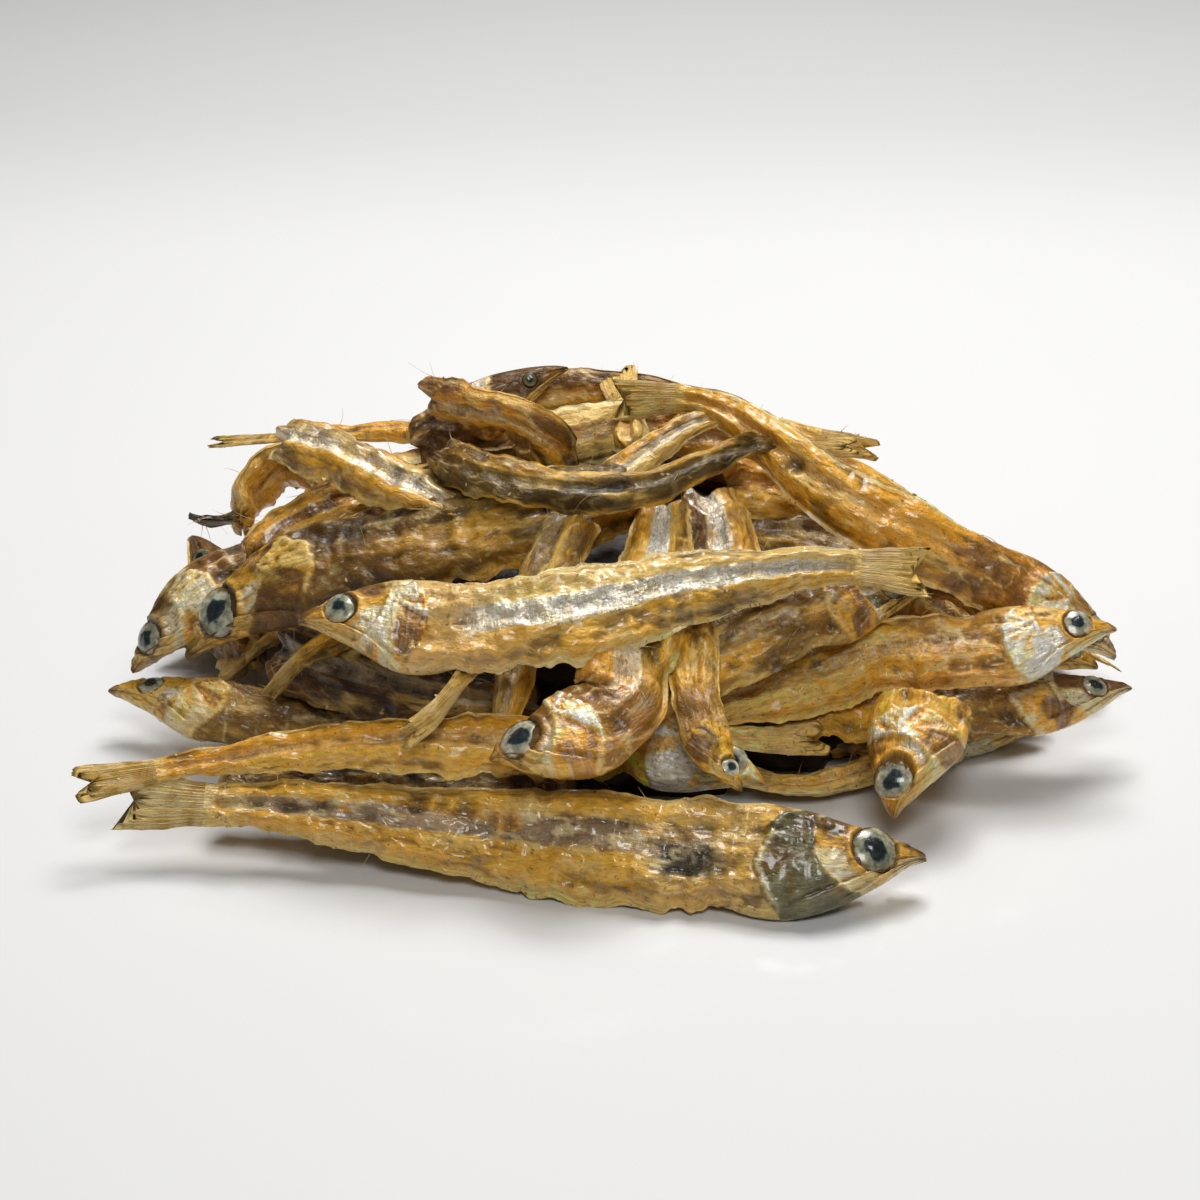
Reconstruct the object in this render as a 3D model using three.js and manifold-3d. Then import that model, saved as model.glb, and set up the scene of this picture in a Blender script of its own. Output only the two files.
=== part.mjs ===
// A heap of small dried fish, lying as they fell on a flat table: one solid, in millimetres, +Z up.
// The origin is on the table, under the middle of the heap. +X runs along the front fish, towards its snout,
// and the front fish lies on the heap's -Y side.
//
// Every fish has one form, swept along its own spine: a pointed head that rises to the gill cover, a flat
// body that tapers to the tail's root, and a forked tail fin. Its flesh has dried uneven, by a seeded draw.

import * as THREE from "three";
import Module from "manifold-3d";

const wasm = await Module();
wasm.setup();

// Shares of a fish's length, from snout to tail fin.
const GILL = 0.2; // the gill cover's rear edge
const NECK = 0.225; // where the body starts behind it
const NECK_END = 0.35; // where the body is deepest again
const DEPTH_TAPER = 0.4; // where the body's depth starts to fall
const FLANK_TAPER = 0.45; // where its thickness starts to fall
const TAIL_ROOT = 0.88;
const FIN_THIN = 0.95; // where the tail fin is at its thinnest
const FORK = 0.03; // how far the fork cuts into the tail fin
const HEAD_SECTIONS = [0.03, 0.07, 0.13, GILL, NECK];
const TAIL_SECTIONS = [TAIL_ROOT, 0.94];

// Shares of a fish's full depth, from back to belly.
const SNOUT_DEPTH = 0.14;
const NECK_DEPTH = 0.86;
const ROOT_DEPTH = 0.4;
const FIN_DEPTH = 0.54;
const HEAD_THICKNESS = 0.46;
const BODY_THICKNESS = 0.38;
const ROOT_THICKNESS = 0.16;
const FIN_THICKNESS = 0.07;
const UNEVEN = 0.08; // how far the dried edges wander

// How the head fills out from the snout: as powers of the way to the gill cover.
const HEAD_DEPTH_POWER = 0.7;
const HEAD_THICKNESS_POWER = 0.55;
const SNOUT_LEAD = 0.01; // so that the snout has some thickness

// An eye's place as a share of the length and of the depth, its radius and height as shares of the depth,
// how much of its radius its flat front keeps, and how far a flank may face down before its eye is left out.
const EYE = { at: 0.07, up: 0.07, radius: 0.19, proud: 0.06, front: 0.7, sides: 7, lowest: -0.4 };

const STATION_STEP = 7; // mm between two sections of a body
const CLOSEST_SECTION = 0.2; // of that step, to either end of a fish
const SIDES = 6; // of each section
const SEED = 11;

// The middle of the heap's box, in the coordinates of the spines below.
const MIDDLE = [2.65, 3.3];

// The core that the fish lie on: a low dome with a flat foot, hidden under them. Its top ring stands at
// 83 degrees.
const CORE = { length: 70, width: 52, height: 29, turns: 12, rings: 4, top: 83, centre: [1, 10] };

// One fish, or part of one: its full depth in mm, the roll of its back round the spine at the snout's end
// and the tail's, the points its spine runs through from snout to tail, in mm, and the shares of a whole
// fish between which it is there.
function fish(name, depth, roll, spine, [from, to] = [0, 1]) {
  return { name, depth, roll, spine: spine.map((p) => new THREE.Vector3(...p)), from, to };
}

const HEAP = [
  // The front row, on the table and against it.
  fish("front", 13.5, [42, 48], [
    [37, -36.7, 4.3], [26, -39, 4.9], [10, -37, 5.2], [-12, -33, 5.3], [-34, -30, 6.5], [-56, -29, 7.6],
  ]),
  fish("second", 8.5, [35, 45], [
    [-2, -25, 12], [-20, -27, 14], [-34, -26, 12.2], [-46, -26, 10.4], [-61, -30, 10],
  ], [0.35, 1]),
  fish("under_second", 11, [30, 30], [[-2, -27, 6], [-22, -26, 6], [-46, -23, 5.4]], [0.3, 0.85]),
  fish("facing", 12, [150, 180], [
    [-12.5, -32, 14.5], [-4.5, -32, 17], [2, -28, 19], [3, -22, 22.5], [6, -13, 27], [8, 0, 33],
  ], [0, 0.8]),
  fish("small", 6, [5, 0], [
    [16, -35, 12], [13, -32, 15], [11, -26, 19], [11, -19, 22], [11, -12, 25], [9, -7, 28],
  ], [0, 0.8]),
  fish("low_head", 10.5, [45, 45], [[19, -28, 9], [12, -26, 11], [4, -22, 12], [-5, -19, 10]], [0, 0.4]),
  fish("tail_right", 9, [140, 140], [
    [0, -16, 10], [10, -18, 9.5], [20, -17.5, 9], [27.5, -15.5, 8.5],
  ], [0.62, 1]),
  fish("pale_low", 8, [20, 20], [[44, -6, 2.6], [34, -12, 2.4], [24, -17, 2.4], [11, -14, 4.5]], [0.6, 1]),
  fish("hanging", 12, [175, 175], [
    [34, -28, 4.5], [35.6, -24, 8.5], [37.3, -19, 11.5], [39.2, -14, 14],
  ], [0, 0.29]),

  // The left side.
  fish("big_head", 12.5, [140, 140], [
    [-50, -6, 14], [-44, -5, 19.5], [-35, -5, 25], [-24, -6, 28], [-12, -5, 31], [5, 1, 34],
  ], [0, 0.6]),
  fish("far_left", 9.5, [150, 150], [
    [-58, 2, 8], [-54, 2, 13], [-48, 5, 18], [-38, 9, 20], [-30, 10, 20],
  ], [0, 0.45]),
  fish("ground_head", 9.5, [160, 160], [
    [-61, 1, 6], [-54, -1, 6], [-45, -5, 6], [-36, -7, 5], [-22, -9, 5],
  ], [0, 0.5]),
  fish("back_snout", 12, [120, 120], [[-53, 25, 16], [-48, 17, 11], [-42, 8, 7]], [0, 0.3]),
  fish("dark_left", 10, [130, 130], [
    [-40, 1, 12], [-30, -8, 13], [-18, -13, 12.5], [-6, -13, 11],
  ], [0.3, 0.75]),
  fish("brown_tail", 8, [90, 120], [[-29, -6, 17.5], [-35.5, -9, 15.5], [-40, -11.5, 11.5]], [0.72, 1]),
  fish("twisted_tail", 6.5, [90, 60], [
    [-5, -15, 24], [-14, -24, 22], [-19, -30, 19], [-23, -33, 17],
  ], [0.7, 1]),
  fish("crumpled", 8, [90, 60], [[-47, 28, 13], [-46, 32, 19], [-41, 33, 23], [-33, 25, 21]], [0.35, 0.68]),
  fish("black_shred", 3, [90, 0], [[-44, 29, 18], [-50, 29, 16.5], [-55, 30, 17.5]], [0.5, 0.9]),
  fish("curl", 6, [150, 140], [[-43, -1, 24], [-38, 3, 27], [-32, 6, 29], [-24, 9, 30]], [0.28, 0.7]),
  fish("top_left", 7.5, [150, 150], [
    [-41, 11, 35.5], [-33, 6, 36], [-24, 0, 34.5], [-15.5, -5, 32],
  ], [0.24, 0.68]),
  fish("thin_left", 5.5, [10, 10], [[-10, 20, 33], [-21, 22, 32], [-36, 25, 30], [-51, 30, 27]], [0.5, 1]),

  // The middle and the top.
  fish("ridge", 11.8, [140, 135], [
    [-35, -18, 25], [-26, -19, 25.5], [-16, -21, 25.5], [-4, -21, 27.5], [12, -15, 28.5], [27, -11, 28.5],
    [39, -12, 28.5],
  ]),
  fish("upright", 8.5, [0, 0], [
    [-3, -4, 33], [-6.6, -10.5, 28], [-9, -13, 22.5], [-10, -20, 17], [-11.5, -24.5, 13],
  ], [0.35, 0.88]),
  fish("silver_up", 10, [0, 0], [[12, 5, 31], [14, -3, 29], [14, -9, 25], [14, -13, 20]], [0.3, 0.62]),
  fish("slant", 7, [150, 140], [
    [-6, -5, 31], [-1, -1, 33], [5, 3, 36.5], [12, 8, 39], [19, 12, 39],
  ], [0.5, 0.95]),
  fish("top_head", 6.2, [90, 60], [
    [-23, 12, 41], [-17, 9, 41], [-11, 6, 41], [-7, 5, 39], [-5, 6, 36], [-4, 10, 29],
  ], [0.2, 0.65]),
  fish("dark_head", 8, [70, 70], [[-4, 21, 41], [-9, 20, 39], [-15, 19, 36], [-24, 17, 31]], [0, 0.32]),
  fish("crest", 6, [130, 150], [
    [-21, 5, 36.5], [-14, -3, 37], [-5, -6, 36.5], [5, -5, 36.5], [12, -2, 38], [19, 3, 38], [32, 8, 36],
  ], [0.22, 1]),
  fish("top_tail_left", 7, [0, 0], [[-1, 12, 31], [-1, 20, 34.5], [-1, 27, 38]], [0.78, 1]),
  fish("top_tail_right", 10, [20, 20], [[4, 8, 35], [3, 15, 38], [2, 24, 40]], [0.76, 1]),
  fish("top_brown", 6, [90, 90], [[-18, 22, 34], [-6, 23, 37], [6, 22, 37.5], [18, 18, 35]], [0.3, 0.8]),
  fish("top_pale", 8, [110, 120], [[-12, 12, 34], [-2, 12, 36], [8, 14, 36], [20, 14, 34]], [0.3, 0.75]),

  // The right side.
  fish("big_right", 9.8, [45, 60], [
    [63, -2, 12], [57, -3, 17.5], [48, -3, 23], [36, -4, 30], [27, -1, 34.5], [19, 6, 38.5], [12, 11, 40.5],
    [1, 13, 40],
  ]),
  fish("right_head", 10, [45, 42], [
    [62, -7, 18.5], [54, -8, 18], [46, -9.5, 17], [33, -9.5, 16], [24, -12, 14], [11, -18, 13],
  ], [0, 0.75]),
  fish("right_low", 9, [35, 35], [
    [65, -4, 9], [57, -7, 9], [46, -8, 9], [31, -10, 9.5], [18, -13, 9],
  ], [0, 0.62]),
  fish("right_floor", 8, [30, 30], [[55, -2, 2.6], [47, -3, 2.4], [37, -3, 2.8], [20, -3, 3]], [0, 0.5]),
  fish("olive", 9.5, [40, 35], [
    [39, -6, 23], [30, -9, 23], [21, -13, 22], [12, -17, 19], [4, -22, 15],
  ], [0, 0.6]),
  fish("pink_back", 7, [120, 130], [[6, 13, 35], [20, 10, 35], [31, 7, 32], [42, 4, 26]], [0.3, 0.8]),
  fish("amber_back", 8, [130, 130], [[14, 6, 32], [26, 7, 29], [38, 5, 25], [50, 4, 17]], [0.3, 0.8]),
  fish("grey_back", 8, [140, 140], [[16, 4, 26], [28, 3, 25.5], [40, 1, 22], [50, 0, 17]], [0.3, 0.8]),
  fish("tail_back", 6, [110, 120], [[6, 14, 37], [20, 13, 36.5], [27, 13, 35], [35, 13, 33]], [0.6, 1]),

  // The far side: on the table, then leaning on each other up to the top.
  fish("far_ground_left", 11, [38, 42], [
    [-57, 20, 3.6], [-44, 26, 3.9], [-26, 32, 4.2], [-8, 37.5, 4.4], [10, 43, 4.2],
  ]),
  fish("far_ground_right", 10, [42, 35], [
    [23, 49, 3.6], [33, 43, 3.8], [46, 33, 4.2], [57, 21, 4.6], [65, 11, 4.4],
  ]),
  fish("far_ground_tail", 9, [40, 48], [
    [-34, 46, 3.4], [-14, 45, 5], [6, 45, 9], [24, 40, 10.5], [40, 35, 9],
  ]),
  fish("far_low_right", 11, [138, 145], [
    [52, 25, 11], [39, 30, 13], [22, 34, 14], [2, 37, 15], [-16, 36, 14],
  ]),
  fish("far_low_left", 10.5, [45, 35], [
    [-49, 25, 12], [-37, 28, 14], [-22, 29, 17], [-5, 30, 20], [10, 28, 22],
  ]),
  fish("far_steep_right", 9.5, [10, 25], [[41, 42, 4], [36, 35, 11], [28, 27, 19], [19, 17, 27]]),
  fish("far_steep_left", 9, [35, 20], [[-5, 13, 33], [-13, 22, 28], [-23, 32, 19], [-35, 41, 8]]),
  fish("far_steep_middle", 9, [0, 15], [[6, 49, 7], [5, 42, 15], [7, 33, 23], [10, 23, 30]]),
  fish("far_high_left", 10, [40, 45], [
    [-42, 17, 21], [-30, 20, 25], [-12, 24, 28], [6, 25, 28], [22, 24, 26],
  ]),
  fish("far_high_right", 10, [140, 135], [
    [46, 14, 19], [34, 18, 22], [18, 21, 26], [2, 23, 30], [-10, 23, 32],
  ]),
  fish("far_middle", 9, [140, 145], [
    [31, 29, 18], [17, 32, 21], [1, 32, 23], [-15, 29, 24], [-29, 24, 23],
  ]),
  fish("far_inner_left", 9, [60, 50], [[-30, 8, 26], [-20, 13, 29], [-6, 16, 31], [8, 17, 32]], [0.1, 0.8]),
  fish("far_inner_right", 9, [120, 130], [
    [34, 12, 25], [24, 13, 29], [12, 14, 32], [-2, 14, 33],
  ], [0.15, 0.85]),
  fish("far_filling", 9, [140, 140], [[21, 36, 8], [4, 37, 9], [-12, 35, 9], [-28, 31, 7.5]], [0.2, 0.9]),
  fish("side_right", 10, [40, 45], [[63, 9, 5], [54, 12, 8], [42, 14, 12], [26, 14, 18]], [0, 0.65]),
  fish("side_right_low", 10, [10, 0], [[56, 2, 4], [47, 3, 10], [36, 6, 18], [24, 8, 26]], [0, 0.7]),
  fish("side_right_high", 9, [0, 10], [
    [51, 22, 9], [43, 20, 15], [32, 16, 22], [21, 12, 28],
  ], [0.15, 0.75]),
  fish("side_left", 10, [40, 45], [[-54, 18, 5], [-46, 18, 9], [-34, 15, 15], [-18, 12, 22]], [0, 0.65]),
  fish("side_left_tail", 10, [0, 20], [[-20, 4, 27], [-31, 6, 19], [-41, 8, 10], [-49, 9, 4]], [0.3, 1]),
];

// Smoothly 0 before a and 1 after b.
function rise(a, b, x) {
  return THREE.MathUtils.smoothstep(x, a, b);
}

// A seeded draw of numbers from -1 to 1.
function drawsFrom(seed) {
  const step = 16807;
  const range = 2147483647;
  let state = seed;
  return () => {
    state = (state * step) % range;
    return (state / range) * 2 - 1;
  };
}

// The full depth at share s of a fish's length, as a share of its deepest.
function depthAt(s) {
  if (s < GILL) return SNOUT_DEPTH + (1 - SNOUT_DEPTH) * Math.pow(s / GILL, HEAD_DEPTH_POWER);
  const neck = 1 - (1 - NECK_DEPTH) * rise(GILL, NECK, s) * (1 - rise(NECK, NECK_END, s));
  const body = 1 - (1 - ROOT_DEPTH) * rise(DEPTH_TAPER, TAIL_ROOT, s);
  return neck * body + (FIN_DEPTH - ROOT_DEPTH) * rise(TAIL_ROOT, 1, s);
}

// The thickness from flank to flank, as a share of the deepest depth.
function thicknessAt(s) {
  const head = HEAD_THICKNESS * Math.pow(Math.min((s + SNOUT_LEAD) / GILL, 1), HEAD_THICKNESS_POWER);
  const behind = THREE.MathUtils.lerp(head, BODY_THICKNESS, rise(GILL, NECK, s));
  const root = THREE.MathUtils.lerp(behind, ROOT_THICKNESS, rise(FLANK_TAPER, TAIL_ROOT, s));
  return THREE.MathUtils.lerp(root, FIN_THICKNESS, rise(TAIL_ROOT, FIN_THIN, s));
}

// The shares of a whole fish at which this one has a section.
function sectionsOf({ from, to }, curve) {
  const gap = (STATION_STEP / curve.getLength()) * (to - from);
  const body = [];
  for (let s = Math.max(from, NECK) + gap; s < Math.min(to, TAIL_ROOT) - gap / 2; s += gap) body.push(s);
  const marks = [...HEAD_SECTIONS, ...body, ...TAIL_SECTIONS];
  const close = gap * CLOSEST_SECTION;
  return [from, ...marks.filter((s) => s > from + close && s < to - close), to];
}

// The spine's place and the fish's own directions at share s: back is towards its back, and side is out of
// its flank.
function frameAt({ from, to, roll }, curve, s) {
  const t = (s - from) / (to - from);
  const along = curve.getTangentAt(t);
  const level = new THREE.Vector3().crossVectors(along, new THREE.Vector3(0, 0, 1)).normalize();
  const angle = THREE.MathUtils.degToRad(THREE.MathUtils.lerp(roll[0], roll[1], t));
  const back = level.applyAxisAngle(along, -angle);
  return { place: curve.getPointAt(t), along, back, side: new THREE.Vector3().crossVectors(along, back) };
}

// A closed solid from rings of points, each joined to the next, with a fan over the first and the last.
function solidOfRings(rings) {
  const points = rings.flat();
  const count = rings[0].length;
  const faces = [];
  for (let r = 0; r + 1 < rings.length; r++) {
    for (let i = 0; i < count; i++) {
      const [a, b] = [r * count + i, r * count + ((i + 1) % count)];
      faces.push(a, b, b + count, a, b + count, a + count);
    }
  }
  const last = (rings.length - 1) * count;
  for (let i = 1; i + 1 < count; i++) faces.push(0, i + 1, i, last, last + i, last + i + 1);
  return solidOf(points, faces);
}

// A solid from points and faces, whichever way round the faces were listed.
function solidOf(points, faces) {
  const made = (triangles) =>
    new wasm.Manifold(
      new wasm.Mesh({
        numProp: 3,
        vertProperties: new Float32Array(points.flatMap((p) => p.toArray())),
        triVerts: new Uint32Array(triangles),
      }),
    );
  const solid = made(faces);
  return solid.volume() > 0 ? solid : made(faces.toReversed());
}

// A fish's body as rings of SIDES points. A fork is cut into the tail fin by holding back its middle points.
function bodyOf(one, curve, draw) {
  const length = curve.getLength() / (one.to - one.from);
  return solidOfRings(
    sectionsOf(one, curve).map((s) => {
      const { place, along, back, side } = frameAt(one, curve, s);
      const half = (depthAt(s) * one.depth) / 2;
      const thick = (thicknessAt(s) * one.depth) / 2;
      return Array.from({ length: SIDES }, (_, i) => {
        const turn = (i / SIDES) * 2 * Math.PI;
        const high = Math.cos(turn);
        const wander = 1 + UNEVEN * draw();
        const forked = s === 1 ? FORK * length * (1 - Math.abs(high)) : 0;
        return place
          .clone()
          .addScaledVector(back, high * half * wander)
          .addScaledVector(side, Math.sin(turn) * thick)
          .addScaledVector(along, -forked);
      });
    }),
  );
}

// The eyes of a head, as low round lenses on its flanks.
function eyesOf(one, curve) {
  if (one.from > 0) return [];
  const { place, along, back, side } = frameAt(one, curve, EYE.at);
  const centre = place.clone().addScaledVector(back, EYE.up * one.depth);
  const flank = (thicknessAt(EYE.at) * one.depth) / 2;
  const hands = [1, -1].filter((hand) => hand * side.z > EYE.lowest);
  return hands.map((hand) => {
    const ring = (radius, out) =>
      Array.from({ length: EYE.sides }, (_, i) => {
        const turn = (i / EYE.sides) * 2 * Math.PI;
        return centre
          .clone()
          .addScaledVector(along, Math.cos(turn) * radius * one.depth)
          .addScaledVector(back, Math.sin(turn) * radius * one.depth)
          .addScaledVector(side, hand * out);
      });
    return solidOfRings([ring(EYE.radius, 0), ring(EYE.radius * EYE.front, flank + EYE.proud * one.depth)]);
  });
}

function fishSolids(one, index) {
  const curve = new THREE.CatmullRomCurve3(one.spine, false, "centripetal");
  return [bodyOf(one, curve, drawsFrom(SEED + index)), ...eyesOf(one, curve)];
}

// The core as rings from its flat foot to its top.
function coreSolid() {
  const rings = [];
  for (let r = 0; r <= CORE.rings; r++) {
    const climb = THREE.MathUtils.degToRad((r / CORE.rings) * CORE.top);
    rings.push(
      Array.from({ length: CORE.turns }, (_, i) => {
        const turn = (i / CORE.turns) * 2 * Math.PI;
        return new THREE.Vector3(
          CORE.centre[0] + (CORE.length / 2) * Math.cos(climb) * Math.cos(turn),
          CORE.centre[1] + (CORE.width / 2) * Math.cos(climb) * Math.sin(turn),
          CORE.height * Math.sin(climb),
        );
      }),
    );
  }
  return solidOfRings(rings);
}

// The heap's outer body: everything joined and cut off level with the table. Only its largest shell is kept,
// which fills any sealed hollow and drops any loose scrap.
function heapSolid() {
  const all = [coreSolid(), ...HEAP.flatMap(fishSolids)];
  const joined = all.reduce((sum, next) => sum.add(next)).trimByPlane([0, 0, 1], 0);
  const shells = joined.decompose();
  return shells.reduce((a, b) => (b.volume() > a.volume() ? b : a)).translate(-MIDDLE[0], -MIDDLE[1], 0);
}

function meshOf(name, solid, material) {
  const { vertProperties, triVerts, numProp } = solid.getMesh();
  const geometry = new THREE.BufferGeometry();
  const positions = [];
  for (let i = 0; i < vertProperties.length; i += numProp) {
    positions.push(...vertProperties.subarray(i, i + 3));
  }
  geometry.setAttribute("position", new THREE.BufferAttribute(new Float32Array(positions), 3));
  geometry.setIndex(new THREE.BufferAttribute(triVerts, 1));
  geometry.computeVertexNormals();
  const mesh = new THREE.Mesh(geometry, material);
  mesh.name = name;
  return mesh;
}

const driedFish = new THREE.MeshStandardMaterial({ color: 0xa8792e, roughness: 0.45, metalness: 0 });

const heap = new THREE.Group();
heap.add(meshOf("sprat_heap", heapSolid(), driedFish));

export default heap;
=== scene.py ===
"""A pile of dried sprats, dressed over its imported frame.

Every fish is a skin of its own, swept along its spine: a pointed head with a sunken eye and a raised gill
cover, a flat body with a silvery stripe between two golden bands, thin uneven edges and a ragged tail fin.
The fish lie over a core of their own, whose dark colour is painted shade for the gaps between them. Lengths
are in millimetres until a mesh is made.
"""

import logging
import math
from dataclasses import dataclass, field, replace
from enum import Enum
from typing import ClassVar

import bpy
import numpy as np
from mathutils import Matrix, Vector


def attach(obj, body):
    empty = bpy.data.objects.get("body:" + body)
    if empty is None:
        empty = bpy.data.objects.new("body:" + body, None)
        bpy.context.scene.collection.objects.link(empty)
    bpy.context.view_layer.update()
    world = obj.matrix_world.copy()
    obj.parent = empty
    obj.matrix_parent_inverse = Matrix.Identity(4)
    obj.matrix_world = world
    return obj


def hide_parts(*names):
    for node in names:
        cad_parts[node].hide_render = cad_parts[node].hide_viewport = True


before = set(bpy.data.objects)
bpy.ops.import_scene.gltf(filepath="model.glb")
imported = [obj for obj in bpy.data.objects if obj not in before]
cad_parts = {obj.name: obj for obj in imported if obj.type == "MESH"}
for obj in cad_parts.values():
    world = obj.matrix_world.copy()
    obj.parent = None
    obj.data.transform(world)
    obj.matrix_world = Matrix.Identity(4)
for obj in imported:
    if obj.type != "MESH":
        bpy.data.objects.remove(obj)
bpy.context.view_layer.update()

LOG = logging.getLogger("sprats")
NODE = "sprat_heap"
Place = tuple[float, float, float]

# A mm in metres, a step of the skins' map in mm, and where the frame's middle is among the listed places.
MM = 0.001
MAP_STEP = 100.0
MIDDLE = (2.65, 3.3)

# Shares of a fish's length, from the snout.
GILL = 0.2
NECK = 0.225
TAIL_ROOT = 0.885

# Gaps between the rings of a fish's skin, in mm, and how many points a ring has, where fine is 1.
HEAD_GAP = 0.24
BODY_GAP = 0.42
FIN_GAP = 0.3
RING_POINTS = 76

# The depth of a fish, in mm, at which its relief has its full height.
RELIEF_DEPTH = 13.0


def ease(low: float, high: float, x: np.ndarray) -> np.ndarray:
    """Smoothly 0 before low and 1 after high."""
    t = np.clip((x - low) / (high - low), 0.0, 1.0)
    return t * t * (3.0 - 2.0 * t)


def settle(t: np.ndarray) -> np.ndarray:
    """A share from 0 to 1 made level at both ends."""
    return t * t * t * (t * (t * 6 - 15) + 10)


def hill(x: np.ndarray, width: float) -> np.ndarray:
    """A smooth hill of height 1 at x = 0."""
    return np.exp(-((x / width) ** 2))


def blend(first: np.ndarray, second: np.ndarray, share: np.ndarray) -> np.ndarray:
    """The mix of two fields of numbers."""
    return first + (second - first) * share


class Tone(Enum):
    """Colours of dried fish, as sRGB bytes."""

    GOLD = (190, 150, 70)
    OCHRE = (170, 130, 54)
    STRAW = (222, 194, 138)
    CREAM = (234, 222, 188)
    AMBER = (178, 132, 42)
    ORANGE = (188, 134, 40)
    OLIVE = (136, 108, 44)
    MOSS = (104, 84, 34)
    BROWN = (98, 68, 32)
    DARK = (46, 31, 18)
    RUST = (108, 72, 26)
    PLUM = (94, 66, 50)
    PINK = (166, 138, 112)
    GREY = (124, 108, 84)
    LILAC = (124, 106, 94)
    STEEL = (176, 172, 166)
    SILVER = (216, 214, 210)
    PEARL = (210, 202, 176)
    GLASSY = (106, 104, 74)
    INK = (44, 46, 50)

    def linear(self) -> np.ndarray:
        """The colour in linear light."""
        srgb = np.array(self.value) / 255.0
        return np.where(srgb <= 0.04045, srgb / 12.92, ((srgb + 0.055) / 1.055) ** 2.4)

    def opaque(self, shade: float = 1.0) -> tuple[float, ...]:
        """The colour in linear light times a shade, with full alpha."""
        return (*(shade * self.linear()), 1.0)


@dataclass(frozen=True)
class Look:
    """How one fish is coloured. Shares run from 0 to 1, while shade and eye are factors.

    Heights on the flank run from -1 at the belly to 1 at the back. A bruise has a share of the length and a
    height.
    """

    back: Tone = Tone.GOLD
    belly: Tone = Tone.GOLD
    stripe: Tone = Tone.LILAC
    stripe_share: float = 0.9
    stripe_width: float = 0.26
    stripe_at: float = 0.04
    edge: Tone = Tone.STRAW
    edge_share: float = 0.6
    neck: Tone = Tone.BROWN
    neck_share: float = 0.6
    patch: Tone = Tone.AMBER
    patch_share: float = 0.5
    dull_share: float = 0.3
    tail: Tone = Tone.STRAW
    head: Tone = Tone.OCHRE
    crown: Tone = Tone.BROWN
    cheek: Tone = Tone.PEARL
    gill: Tone = Tone.PEARL
    under: Tone = Tone.AMBER
    jaw: Tone = Tone.STRAW
    silver: float = 0.6
    gloss: float = 0.85
    flecks: float = 0.4
    shade: float = 1.0
    eye: float = 1.0
    iris: float = 0.6
    # How much darker the gill cover is painted, as painted shade.
    gill_darkening: float = 0.0
    bruise: tuple[float, float] | None = None


GOLDEN = Look()
OLIVE = Look(back=Tone.OLIVE, belly=Tone.OCHRE, stripe=Tone.GREY, stripe_share=0.5, patch=Tone.MOSS,
             edge=Tone.STRAW, edge_share=0.5, dull_share=0.5, gloss=0.3)
AMBER = Look(back=Tone.AMBER, belly=Tone.GOLD, stripe=Tone.PINK, stripe_share=0.3, patch=Tone.ORANGE,
             patch_share=0.7, dull_share=0.15, gloss=0.8, flecks=0.15)
BROWN = Look(back=Tone.BROWN, belly=Tone.OLIVE, stripe=Tone.GREY, stripe_share=0.6, patch=Tone.AMBER,
             patch_share=0.4, edge=Tone.OCHRE, edge_share=0.5, dull_share=0.6, gloss=0.35, head=Tone.BROWN)
DARK = Look(back=Tone.DARK, belly=Tone.BROWN, stripe=Tone.GREY, stripe_share=0.5, patch=Tone.RUST,
            patch_share=0.6, edge=Tone.BROWN, edge_share=0.6, dull_share=0.4, gloss=0.4, head=Tone.BROWN,
            shade=0.8)
PALE = Look(back=Tone.STRAW, belly=Tone.STRAW, stripe=Tone.PINK, stripe_share=0.5, patch=Tone.GOLD,
            patch_share=0.6, edge=Tone.CREAM, dull_share=0.3, gloss=0.3)
SILVERY = Look(back=Tone.STRAW, belly=Tone.GOLD, stripe=Tone.SILVER, stripe_share=1.0, stripe_width=0.3,
               silver=0.9, dull_share=0.15, flecks=0.6)


@dataclass(frozen=True)
class DriedNoise:
    """Smooth noise over a surface, the same on every run."""

    seed: int
    turn: float = 0.6

    def _knot(self, i: np.ndarray, j: np.ndarray, layer: int) -> np.ndarray:
        """A number for each whole pair of steps.

        Args:
            i: Whole steps along the first way.
            j: Whole steps along the second way.
            layer: The layer's number.

        Returns:
            Numbers from -1 to 1.
        """
        mixed = (i * 73856093) ^ (j * 19349663) ^ ((self.seed * 31 + layer) * 83492791)
        mixed = (mixed ^ (mixed >> 13)) & 0xFFFFFFFF
        mixed = (mixed * 1274126177) & 0xFFFFFFFF
        mixed = mixed ^ (mixed >> 16)
        return mixed / 0x7FFFFFFF - 1.0

    def _layer(self, a: np.ndarray, b: np.ndarray, layer: int) -> np.ndarray:
        """One layer of noise, smooth between whole steps.

        Args:
            a: Steps along the first way.
            b: Steps along the second way.
            layer: The layer's number.

        Returns:
            Numbers from -1 to 1.
        """
        i, j = np.floor(a).astype(np.int64), np.floor(b).astype(np.int64)
        u, w = settle(a - i), settle(b - j)
        low = blend(self._knot(i, j, layer), self._knot(i + 1, j, layer), u)
        high = blend(self._knot(i, j + 1, layer), self._knot(i + 1, j + 1, layer), u)
        return blend(low, high, w)

    def at(self, a: np.ndarray, b: np.ndarray | float = 0.0, layers: int = 2) -> np.ndarray:
        """The noise at the places a, b.

        Args:
            a: Steps along the first way.
            b: Steps along the second way.
            layers: How many layers, each twice as fine and half as strong.

        Returns:
            Numbers from -1 to 1.
        """
        a, b = np.broadcast_arrays(np.asarray(a, float), np.asarray(b, float))
        total, strength, share = np.zeros(a.shape), 0.0, 1.0
        for layer in range(layers):
            turn = self.turn * layer
            x = (a * math.cos(turn) - b * math.sin(turn)) * 2.0**layer
            y = (a * math.sin(turn) + b * math.cos(turn)) * 2.0**layer
            total = total + share * self._layer(x, y, layer)
            strength += share
            share *= 0.5
        return total / strength


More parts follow.
